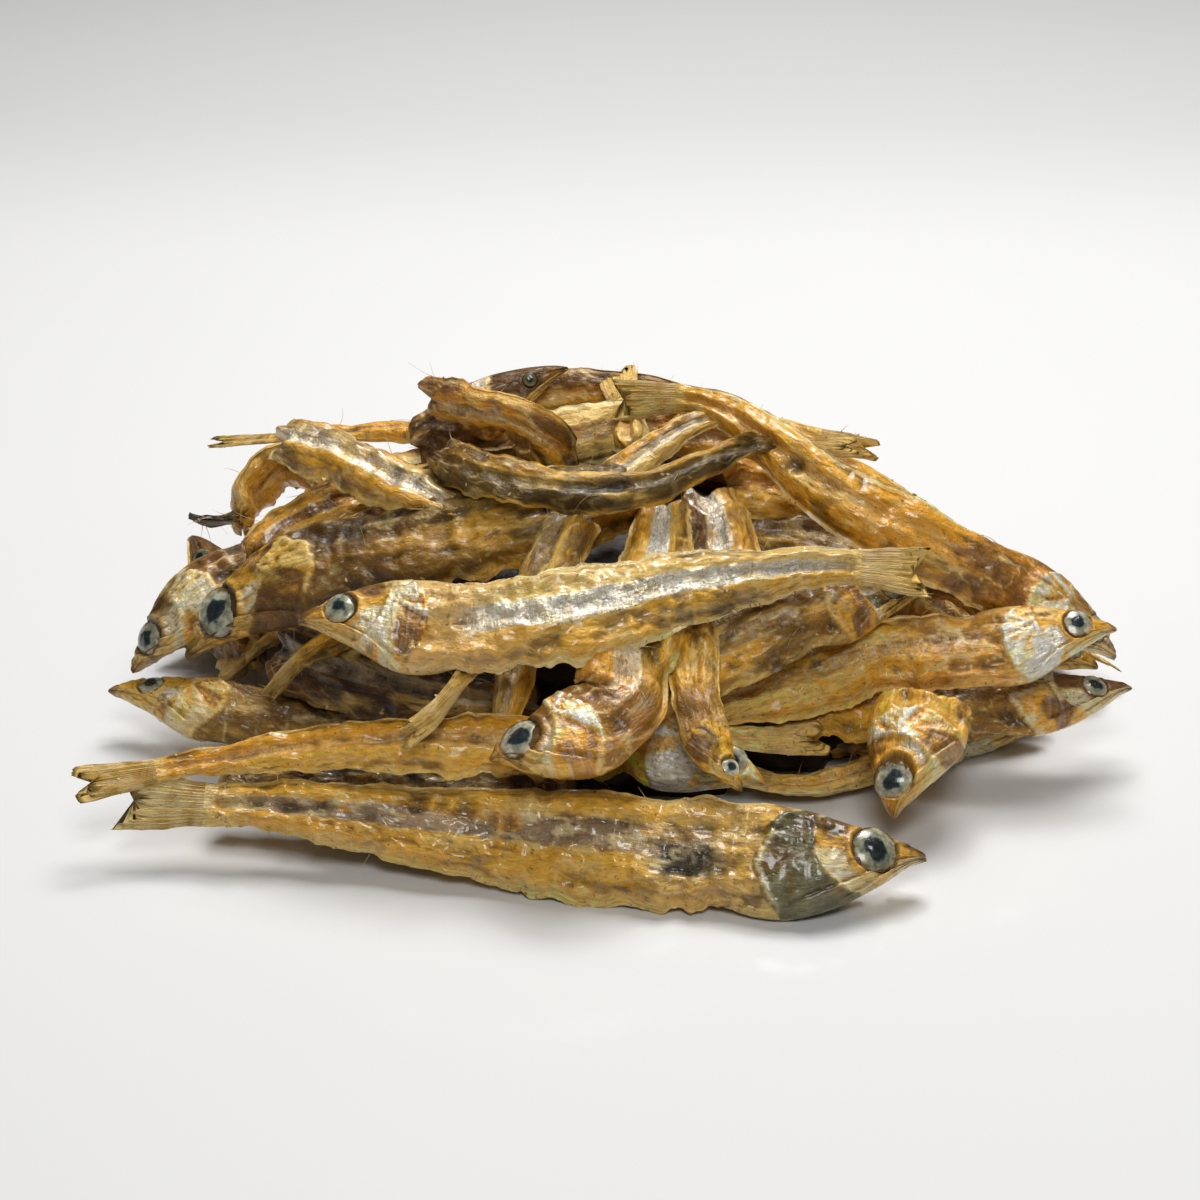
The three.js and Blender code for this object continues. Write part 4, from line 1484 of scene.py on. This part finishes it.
@dataclass
class Crumbs:
    """Flakes of dried flesh that cling to the skins, thickest where the paint shows crust.

    least is the chance of a flake on bare flesh. None lies lower than lowest mm.
    """

    sprats: list[Sprat]
    count: int = 3600
    size: tuple[float, float] = (0.08, 0.4)
    flake: Place = (1.0, 0.45, 0.12)
    full_turn: float = 6.283
    least: float = 0.03
    lowest: float = 0.4
    pick_seed: int = 29
    flake_seed: int = 3

    def tree(self, name: str) -> bpy.types.GeometryNodeTree:
        """Builds the tree that lays one flat flake on every point, turned to the skin.

        Args:
            name: The tree's name.

        Returns:
            The tree. Its inputs are the points, the flakes' least and largest size, a seed and the finish.
        """
        inputs = {
            "Points": ("Geometry", None),
            "Smallest": ("Float", 0.1),
            "Largest": ("Float", 0.4),
            "Seed": ("Int", 3),
            "Finish": ("Material", None),
        }
        sheet = new_tree(name, "GeometryNodeTree", inputs, ("Flakes", "Geometry"))
        given = sheet.add("NodeGroupInput").outputs
        points = sheet.add("GeometryNodeMeshToPoints", {0: given["Points"]}).outputs[0]
        flake = sheet.add("GeometryNodeMeshIcoSphere", {"Radius": 1.0, "Subdivisions": 1}).outputs[0]
        way = sheet.kept("way", PointValue.FLOAT_VECTOR)
        turn = sheet.add("FunctionNodeAlignRotationToVector", {"Vector": way}, axis="Z").outputs[0]
        spin = sheet.add("FunctionNodeRandomValue", {2: 0.0, 3: self.full_turn, "Seed": given["Seed"]})
        spin = sheet.add("ShaderNodeCombineXYZ", {2: spin.outputs[1]}).outputs[0]
        full = sheet.add("FunctionNodeRotateRotation", {0: turn, 1: spin}, rotation_space="LOCAL").outputs[0]
        sizes = {2: given["Smallest"], 3: given["Largest"], "Seed": given["Seed"]}
        size = sheet.add("FunctionNodeRandomValue", sizes).outputs[1]
        thin = sheet.add("ShaderNodeCombineXYZ", dict(enumerate(self.flake))).outputs[0]
        scale = sheet.add("ShaderNodeVectorMath", {0: thin, "Scale": size}, operation="SCALE").outputs[0]
        values = {"Points": points, "Instance": flake, "Rotation": full, "Scale": scale}
        sheet.end(sheet.add("GeometryNodeInstanceOnPoints", values).outputs[0], given["Finish"])
        return sheet.tree

    def build(self, material: bpy.types.Material) -> bpy.types.Object:
        """Scatters the flakes over the skins.

        Args:
            material: Their finish.

        Returns:
            The piece crumbs.
        """
        rng = np.random.default_rng(self.pick_seed)
        places, ways, chances = [], [], []
        for one in self.sprats:
            outward = np.cross(np.gradient(one.points, axis=1), np.gradient(one.points, axis=0))
            outward /= np.maximum(np.linalg.norm(outward, axis=2), 1e-9)[..., None]
            bare = 1 - one.grid.marks["head"]
            chance = (self.least + one.grid.marks["crust"]) * bare * (one.points[..., 2] > self.lowest)
            places.append(one.points.reshape(-1, 3))
            ways.append(outward.reshape(-1, 3))
            chances.append((chance * one.line.length / one.points.shape[0] * one.depth).ravel())
        place, way, chance = np.concatenate(places), np.concatenate(ways), np.concatenate(chances)
        picks = rng.choice(len(place), self.count, replace=False, p=chance / chance.sum())
        mesh = new_mesh("crumb_points", [tuple(p * MM) for p in place[picks]], [], [])
        keep_values(mesh, "way", PointValue.FLOAT_VECTOR, way[picks])
        values = {"Smallest": self.size[0] * MM, "Largest": self.size[1] * MM, "Seed": self.flake_seed}
        host = new_piece("crumb_points", mesh)
        return grown("crumbs", host, self.tree("crumbs"), {**values, "Finish": material})


@dataclass(frozen=True)
class Lamp:
    """One soft square lamp that faces the heap, with its place and size in mm and its power in watts."""

    name: str
    place: Place
    size: float
    power: float

    def hang(self) -> None:
        """Puts the lamp into the scene."""
        data = bpy.data.lights.new(self.name, "AREA")
        data.shape, data.size, data.energy = "SQUARE", self.size * MM, self.power
        lamp = bpy.data.objects.new(self.name, data)
        lamp.location = Vector(self.place) * MM
        lamp.rotation_euler = (-Vector(self.place)).to_track_quat("-Z", "Y").to_euler()
        bpy.context.scene.collection.objects.link(lamp)


@dataclass
class Studio:
    """The pale table, the soft lights and the camera."""

    eye: Place = (-2.65, -344.84, 185.58)
    tilt: float = 26.0
    lens: float = 93.48
    sensor: float = 36.0
    clip: tuple[float, float] = (0.01, 20.0)
    table_reach: float = 1800.0
    lamps: tuple[Lamp, ...] = (
        Lamp("top_lamp", (60.0, 215.0, 500.0), 300.0, 2.7),
        Lamp("front_lamp", (30.0, -390.0, 480.0), 200.0, 1.15),
        Lamp("key_lamp", (20.0, 260.0, 450.0), 80.0, 0.45),
    )
    air: tuple[float, ...] = (1.0, 0.995, 0.985, 1.0)
    air_strength: float = 0.09

    def camera(self) -> None:
        """Makes the camera at the photograph's viewing angle."""
        data = bpy.data.cameras.new("camera")
        data.lens, data.sensor_width = self.lens, self.sensor
        data.clip_start, data.clip_end = self.clip
        camera = bpy.data.objects.new("camera", data)
        camera.location = Vector(self.eye) * MM
        camera.rotation_euler = (math.radians(90.0 - self.tilt), 0.0, 0.0)
        bpy.context.scene.collection.objects.link(camera)
        bpy.context.scene.camera = camera

    def table(self) -> None:
        """Makes the flat table, wide enough to fill the picture."""
        reach = self.table_reach * MM
        corners = [(-reach, -reach, 0), (reach, -reach, 0), (reach, reach, 0), (-reach, reach, 0)]
        table = new_piece("table", new_mesh("table", corners, [], [(0, 1, 2, 3)]))
        table.data.materials.append(TableFinish().material())

    def lights(self) -> None:
        """Lights the heap from above and a little behind, with soft fills."""
        for lamp in self.lamps:
            lamp.hang()
        world = bpy.data.worlds.new("studio")
        world.use_nodes = True
        backdrop = world.node_tree.nodes["Background"]
        backdrop.inputs[0].default_value = self.air
        backdrop.inputs[1].default_value = self.air_strength
        bpy.context.scene.world = world
        bpy.context.scene.view_settings.view_transform = "Standard"


FRONT = replace(GOLDEN, patch=Tone.ORANGE, patch_share=0.35, stripe_width=0.3, stripe_at=0.06,
                gill=Tone.GLASSY, under=Tone.MOSS, neck=Tone.GREY, neck_share=0.5, edge_share=0.85,
                crown=Tone.DARK, silver=0.08, flecks=0.7, tail=Tone.CREAM, eye=1.1, iris=0.3, gill_darkening=0.4,
                bruise=(0.29, -0.2), jaw=Tone.CREAM)
RIDGE = replace(SILVERY, neck=Tone.PINK, neck_share=0.5, edge=Tone.CREAM, patch_share=0.3, gill=Tone.PEARL,
                eye=0.92, iris=0.45)


class Heap:
    """The whole heap: its fish by where they lie, its eyes, rays, fibres, crumbs and core."""

    def __init__(self) -> None:
        """Lists the fish."""
        self.front = [
            Sprat("front", 13.5, (42, 48), ((37, -36.7, 4.3), (26, -39, 4.9), (10, -37, 5.2),
                  (-12, -33, 5.3), (-34, -30, 6.5), (-56, -29, 7.6)), look=FRONT, fine=1.3),
            Sprat("second", 8.5, (35, 45), ((-2, -25, 12), (-20, -27, 14), (-34, -26, 12.2),
                  (-46, -26, 10.4), (-61, -30, 10)), (0.35, 1), replace(AMBER, stripe_share=0.4, shade=1.15),
                  1.4),
            # under_second's dark look is partly its colour and partly painted shade, as it lies under the
            # second fish.
            Sprat("under_second", 11, (30, 30), ((-2, -27, 6), (-22, -26, 6), (-46, -23, 5.4)), (0.3, 0.85),
                  DARK),
            Sprat("facing", 12, (150, 180), ((-12.5, -32, 14.5), (-4.5, -32, 17), (2, -28, 19),
                  (3, -22, 22.5), (6, -13, 27), (8, 0, 33)), (0, 0.8), replace(SILVERY, back=Tone.AMBER,
                  belly=Tone.OLIVE, stripe_share=0.6, neck=Tone.BROWN, neck_share=0.9, head=Tone.BROWN,
                  gill=Tone.PEARL, eye=1.2, iris=0.9, shade=1.35, gloss=0.4)),
            Sprat("small", 6, (5, 0), ((16, -35, 12), (13, -32, 15), (11, -26, 19), (11, -19, 22),
                  (11, -12, 25), (9, -7, 28)), (0, 0.8), replace(OLIVE, back=Tone.OCHRE, stripe_share=0.0,
                  dull_share=0.1, gill=Tone.OCHRE, cheek=Tone.OCHRE, head=Tone.GOLD, crown=Tone.OCHRE,
                  eye=1.1, iris=1.0, silver=0.0, flecks=0.0, shade=0.8)),
            # low_head's colours are lifted threefold: painted light, as the fish above it shade it.
            Sprat("low_head", 10.5, (45, 45), ((19, -28, 9), (12, -26, 11), (4, -22, 12), (-5, -19, 10)),
                  (0, 0.4), replace(AMBER, gill=Tone.CREAM, under=Tone.STRAW, head=Tone.STRAW, silver=0.9,
                  neck=Tone.AMBER, shade=3.0)),
            Sprat("tail_right", 9, (140, 140), ((0, -16, 10), (10, -18, 9.5), (20, -17.5, 9),
                  (27.5, -15.5, 8.5)), (0.62, 1), PALE, 1.4),
            Sprat("pale_low", 8, (20, 20), ((44, -6, 2.6), (34, -12, 2.4), (24, -17, 2.4), (11, -14, 4.5)),
                  (0.6, 1), replace(PALE, back=Tone.GOLD)),
            Sprat("hanging", 12, (175, 175), ((34, -28, 4.5), (35.6, -24, 8.5), (37.3, -19, 11.5),
                  (39.2, -14, 14)), (0, 0.29), replace(AMBER, neck=Tone.GOLD, neck_share=0.9,
                  gill=Tone.PEARL, silver=0.8, eye=1.05, iris=0.9, shade=1.5)),
        ]
        self.left = [
            Sprat("big_head", 12.5, (140, 140), ((-50, -6, 14), (-44, -5, 19.5), (-35, -5, 25),
                  (-24, -6, 28), (-12, -5, 31), (5, 1, 34)), (0, 0.6), replace(OLIVE, back=Tone.OLIVE,
                  head=Tone.GOLD, crown=Tone.AMBER, gill=Tone.STRAW, cheek=Tone.STRAW, stripe=Tone.OCHRE,
                  gloss=0.3, shade=0.62, flecks=0.1, silver=0.0, edge=Tone.OCHRE, eye=1.35, iris=0.7)),
            Sprat("far_left", 9.5, (150, 150), ((-58, 2, 8), (-54, 2, 13), (-48, 5, 18), (-38, 9, 20),
                  (-30, 10, 20)), (0, 0.45), replace(BROWN, head=Tone.GREY, eye=1.3)),
            Sprat("ground_head", 9.5, (160, 160), ((-61, 1, 6), (-54, -1, 6), (-45, -5, 6), (-36, -7, 5),
                  (-22, -9, 5)), (0, 0.5), replace(BROWN, head=Tone.GOLD, crown=Tone.AMBER, gill=Tone.STRAW,
                  silver=0.3)),
            Sprat("back_snout", 12, (120, 120), ((-53, 25, 16), (-48, 17, 11), (-42, 8, 7)), (0, 0.3),
                  replace(BROWN, eye=0.6, iris=0.0)),
            Sprat("dark_left", 10, (130, 130), ((-40, 1, 12), (-30, -8, 13), (-18, -13, 12.5),
                  (-6, -13, 11)), (0.3, 0.75), replace(DARK, stripe=Tone.STEEL)),
            Sprat("brown_tail", 8, (90, 120), ((-29, -6, 17.5), (-35.5, -9, 15.5), (-40, -11.5, 11.5)),
                  (0.72, 1), replace(BROWN, back=Tone.AMBER)),
            Sprat("twisted_tail", 5.6, (90, 60), ((-5, -15, 24), (-14, -24, 22), (-19, -30, 19),
                  (-23, -33, 17)), (0.7, 1), replace(PALE, back=Tone.OCHRE), 2.0),
            Sprat("crumpled", 8, (90, 60), ((-47, 28, 13), (-46, 32, 19), (-41, 33, 23), (-33, 25, 21)),
                  (0.35, 0.68), replace(AMBER, back=Tone.OCHRE), 1.6),
            Sprat("black_shred", 3, (90, 0), ((-44, 29, 18), (-50, 29, 16.5), (-55, 30, 17.5)), (0.5, 0.9),
                  replace(DARK, back=Tone.DARK, belly=Tone.DARK, patch=Tone.DARK, shade=0.3), 2.5),
            Sprat("curl", 6, (150, 140), ((-43, -1, 24), (-38, 3, 27), (-32, 6, 29), (-24, 9, 30)),
                  (0.28, 0.7), replace(AMBER, stripe=Tone.PLUM, stripe_share=0.8), 1.8),
            Sprat("top_left", 7.5, (150, 150), ((-41, 11, 35.5), (-33, 6, 36), (-24, 0, 34.5),
                  (-15.5, -5, 32)), (0.24, 0.68), replace(GOLDEN, back=Tone.GREY, belly=Tone.OCHRE,
                  stripe=Tone.STEEL, neck=Tone.GREY), 1.6),
            Sprat("thin_left", 5.5, (10, 10), ((-10, 20, 33), (-21, 22, 32), (-36, 25, 30), (-51, 30, 27)),
                  (0.5, 1), AMBER, 1.4),
        ]
        self.top = [
            Sprat("ridge", 11.8, (140, 135), ((-35, -18, 25), (-26, -19, 25.5), (-16, -21, 25.5),
                  (-4, -21, 27.5), (12, -15, 28.5), (27, -11, 28.5), (39, -12, 28.5)), look=RIDGE,
                  ragged=1.2, fine=1.3),
            Sprat("upright", 8.5, (0, 0), ((-3, -4, 33), (-6.6, -10.5, 28), (-9, -13, 22.5), (-10, -20, 17),
                  (-11.5, -24.5, 13)), (0.35, 0.88), replace(BROWN, back=Tone.GREY)),
            Sprat("silver_up", 10, (0, 0), ((12, 5, 31), (14, -3, 29), (14, -9, 25), (14, -13, 20)),
                  (0.3, 0.62), replace(SILVERY, back=Tone.BROWN, belly=Tone.AMBER, stripe=Tone.STEEL)),
            Sprat("slant", 7, (150, 140), ((-6, -5, 31), (-1, -1, 33), (5, 3, 36.5), (12, 8, 39),
                  (19, 12, 39)), (0.5, 0.95), replace(PALE, stripe=Tone.SILVER, stripe_share=0.7,
                  back=Tone.AMBER)),
            Sprat("top_head", 6.2, (90, 60), ((-23, 12, 41), (-17, 9, 41), (-11, 6, 41), (-7, 5, 39),
                  (-5, 6, 36), (-4, 10, 29)), (0.2, 0.65), replace(BROWN, patch=Tone.ORANGE, patch_share=0.7,
                  gloss=0.8, shade=1.3), 1.5),
            Sprat("dark_head", 8, (70, 70), ((-4, 21, 41), (-9, 20, 39), (-15, 19, 36), (-24, 17, 31)),
                  (0, 0.32), replace(DARK, cheek=Tone.GREY, gill=Tone.BROWN, eye=0.6, iris=0.0)),
            Sprat("crest", 6, (130, 150), ((-21, 5, 36.5), (-14, -3, 37), (-5, -6, 36.5), (5, -5, 36.5),
                  (12, -2, 38), (19, 3, 38), (32, 8, 36)), (0.22, 1), replace(OLIVE, back=Tone.OCHRE,
                  belly=Tone.MOSS, stripe=Tone.MOSS, edge_share=0.8, edge=Tone.GOLD, flecks=0.1, silver=0.0,
                  gloss=0.2, shade=0.6), 1.8, 1.3),
            Sprat("top_tail_left", 7, (0, 0), ((-1, 12, 31), (-1, 20, 34.5), (-1, 27, 38)), (0.78, 1),
                  AMBER),
            Sprat("top_tail_right", 10, (20, 20), ((4, 8, 35), (3, 15, 38), (2, 24, 40)), (0.76, 1), PALE),
            Sprat("top_brown", 6, (90, 90), ((-18, 22, 34), (-6, 23, 37), (6, 22, 37.5), (18, 18, 35)),
                  (0.3, 0.8), BROWN),
            Sprat("top_pale", 8, (110, 120), ((-12, 12, 34), (-2, 12, 36), (8, 14, 36), (20, 14, 34)),
                  (0.3, 0.75), PALE),
        ]
        self.right = [
            Sprat("big_right", 9.8, (45, 60), ((63, -2, 12), (57, -3, 17.5), (48, -3, 23), (36, -4, 30),
                  (27, -1, 34.5), (19, 6, 38.5), (12, 11, 40.5), (1, 13, 40)), look=replace(AMBER,
                  back=Tone.AMBER, belly=Tone.OCHRE, neck=Tone.RUST, neck_share=0.9, head=Tone.GREY,
                  edge=Tone.CREAM, shade=1.4), fine=1.2),
            Sprat("right_head", 10, (45, 42), ((62, -7, 18.5), (54, -8, 18), (46, -9.5, 17), (33, -9.5, 16),
                  (24, -12, 14), (11, -18, 13)), (0, 0.75), replace(OLIVE, neck=Tone.BROWN, neck_share=0.8,
                  gill=Tone.PEARL, cheek=Tone.SILVER, silver=0.9, crown=Tone.GREY, patch=Tone.AMBER,
                  jaw=Tone.CREAM, shade=1.55), fine=1.2),
            Sprat("right_low", 9, (35, 35), ((65, -4, 9), (57, -7, 9), (46, -8, 9), (31, -10, 9.5),
                  (18, -13, 9)), (0, 0.62), replace(BROWN, back=Tone.AMBER, jaw=Tone.CREAM), 1.8),
            Sprat("right_floor", 8, (30, 30), ((55, -2, 2.6), (47, -3, 2.4), (37, -3, 2.8), (20, -3, 3)),
                  (0, 0.5), BROWN),
            Sprat("olive", 9.5, (40, 35), ((39, -6, 23), (30, -9, 23), (21, -13, 22), (12, -17, 19),
                  (4, -22, 15)), (0, 0.6), replace(OLIVE, gill=Tone.OLIVE, cheek=Tone.GLASSY,
                  head=Tone.OLIVE, dull_share=0.8)),
            Sprat("pink_back", 7, (120, 130), ((6, 13, 35), (20, 10, 35), (31, 7, 32), (42, 4, 26)),
                  (0.3, 0.8), replace(AMBER, stripe_share=0.8)),
            Sprat("amber_back", 8, (130, 130), ((14, 6, 32), (26, 7, 29), (38, 5, 25), (50, 4, 17)),
                  (0.3, 0.8), AMBER),
            Sprat("grey_back", 8, (140, 140), ((16, 4, 26), (28, 3, 25.5), (40, 1, 22), (50, 0, 17)),
                  (0.3, 0.8), replace(BROWN, back=Tone.GREY)),
            Sprat("tail_back", 6, (110, 120), ((6, 14, 37), (20, 13, 36.5), (27, 13, 35), (35, 13, 33)),
                  (0.6, 1), OLIVE, 1.4),
        ]
        self.far = [
            Sprat("far_ground_left", 11, (38, 42), ((-57, 20, 3.6), (-44, 26, 3.9), (-26, 32, 4.2),
                  (-8, 37.5, 4.4), (10, 43, 4.2)), look=GOLDEN),
            Sprat("far_ground_right", 10, (42, 35), ((23, 49, 3.6), (33, 43, 3.8), (46, 33, 4.2),
                  (57, 21, 4.6), (65, 11, 4.4)), look=SILVERY),
            Sprat("far_ground_tail", 9, (40, 48), ((-34, 46, 3.4), (-14, 45, 5), (6, 45, 9), (24, 40, 10.5),
                  (40, 35, 9)), look=OLIVE),
            Sprat("far_low_right", 11, (138, 145), ((52, 25, 11), (39, 30, 13), (22, 34, 14), (2, 37, 15),
                  (-16, 36, 14)), look=replace(GOLDEN, stripe=Tone.STEEL)),
            Sprat("far_low_left", 10.5, (45, 35), ((-49, 25, 12), (-37, 28, 14), (-22, 29, 17), (-5, 30, 20),
                  (10, 28, 22)), look=AMBER),
            Sprat("far_steep_right", 9.5, (10, 25), ((41, 42, 4), (36, 35, 11), (28, 27, 19), (19, 17, 27)),
                  look=BROWN),
            Sprat("far_steep_left", 9, (35, 20), ((-5, 13, 33), (-13, 22, 28), (-23, 32, 19), (-35, 41, 8)),
                  look=SILVERY),
            Sprat("far_steep_middle", 9, (0, 15), ((6, 49, 7), (5, 42, 15), (7, 33, 23), (10, 23, 30)),
                  look=OLIVE),
            Sprat("far_high_left", 10, (40, 45), ((-42, 17, 21), (-30, 20, 25), (-12, 24, 28), (6, 25, 28),
                  (22, 24, 26)), look=RIDGE),
            Sprat("far_high_right", 10, (140, 135), ((46, 14, 19), (34, 18, 22), (18, 21, 26), (2, 23, 30),
                  (-10, 23, 32)), look=AMBER),
            Sprat("far_middle", 9, (140, 145), ((31, 29, 18), (17, 32, 21), (1, 32, 23), (-15, 29, 24),
                  (-29, 24, 23)), look=OLIVE),
            Sprat("far_inner_left", 9, (60, 50), ((-30, 8, 26), (-20, 13, 29), (-6, 16, 31), (8, 17, 32)),
                  (0.1, 0.8), BROWN),
            Sprat("far_inner_right", 9, (120, 130), ((34, 12, 25), (24, 13, 29), (12, 14, 32), (-2, 14, 33)),
                  (0.15, 0.85), GOLDEN),
            # far_filling's dark look is partly its colour and partly painted shade, as it fills the heap's
            # inside.
            Sprat("far_filling", 9, (140, 140), ((21, 36, 8), (4, 37, 9), (-12, 35, 9), (-28, 31, 7.5)),
                  (0.2, 0.9), DARK),
            Sprat("side_right", 10, (40, 45), ((63, 9, 5), (54, 12, 8), (42, 14, 12), (26, 14, 18)),
                  (0, 0.65), OLIVE),
            Sprat("side_right_low", 10, (10, 0), ((56, 2, 4), (47, 3, 10), (36, 6, 18), (24, 8, 26)),
                  (0, 0.7), BROWN),
            Sprat("side_right_high", 9, (0, 10), ((51, 22, 9), (43, 20, 15), (32, 16, 22), (21, 12, 28)),
                  (0.15, 0.75), SILVERY),
            Sprat("side_left", 10, (40, 45), ((-54, 18, 5), (-46, 18, 9), (-34, 15, 15), (-18, 12, 22)),
                  (0, 0.65), BROWN),
            Sprat("side_left_tail", 10, (0, 20), ((-20, 4, 27), (-31, 6, 19), (-41, 8, 10), (-49, 9, 4)),
                  (0.3, 1), GOLDEN),
        ]

    def build(self) -> list[tuple[bpy.types.Object, str]]:
        """Makes every piece.

        Returns:
            The pieces, each with the finish slot it belongs to.
        """
        sprats = [*self.front, *self.left, *self.top, *self.right, *self.far]
        skin, fibre = SkinFinish().material(), FibreFinish().material()
        made = []
        for one in sprats:
            piece = one.skin()
            piece.data.materials.append(skin)
            made.append((piece, "dried_fish"))
        eyes, core = EyeSet(sprats).build(), Core().build()
        eyes.data.materials.append(EyeFinish().material())
        # The core's dark finish is painted shade for the gaps between the fish.
        core.data.materials.append(CoreFinish().material())
        made += [(eyes, "fish_eye"), (core, "heap_core")]
        made.append((TailRays(sprats).build(fibre), "tail_fin"))
        made.append((DryFibres(sprats).build(fibre), "tail_fin"))
        made.append((Crumbs(sprats).build(FibreFinish(rough=0.35).material()), "silver_skin"))
        return made


def main() -> None:
    """Builds the studio and the heap."""
    logging.basicConfig(level=logging.INFO, format="%(message)s")
    studio = Studio()
    studio.camera()
    studio.table()
    studio.lights()
    total = 0
    for piece, slot in Heap().build():
        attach(piece, "root")
        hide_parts(NODE)
        faces = sum(len(p.vertices) - 2 for p in piece.data.polygons)
        total += faces
        LOG.info("%s: %d triangles, %s", piece.name, faces, slot)
    LOG.info("all pieces: %d triangles", total)


if __name__ == "__main__":
    main()
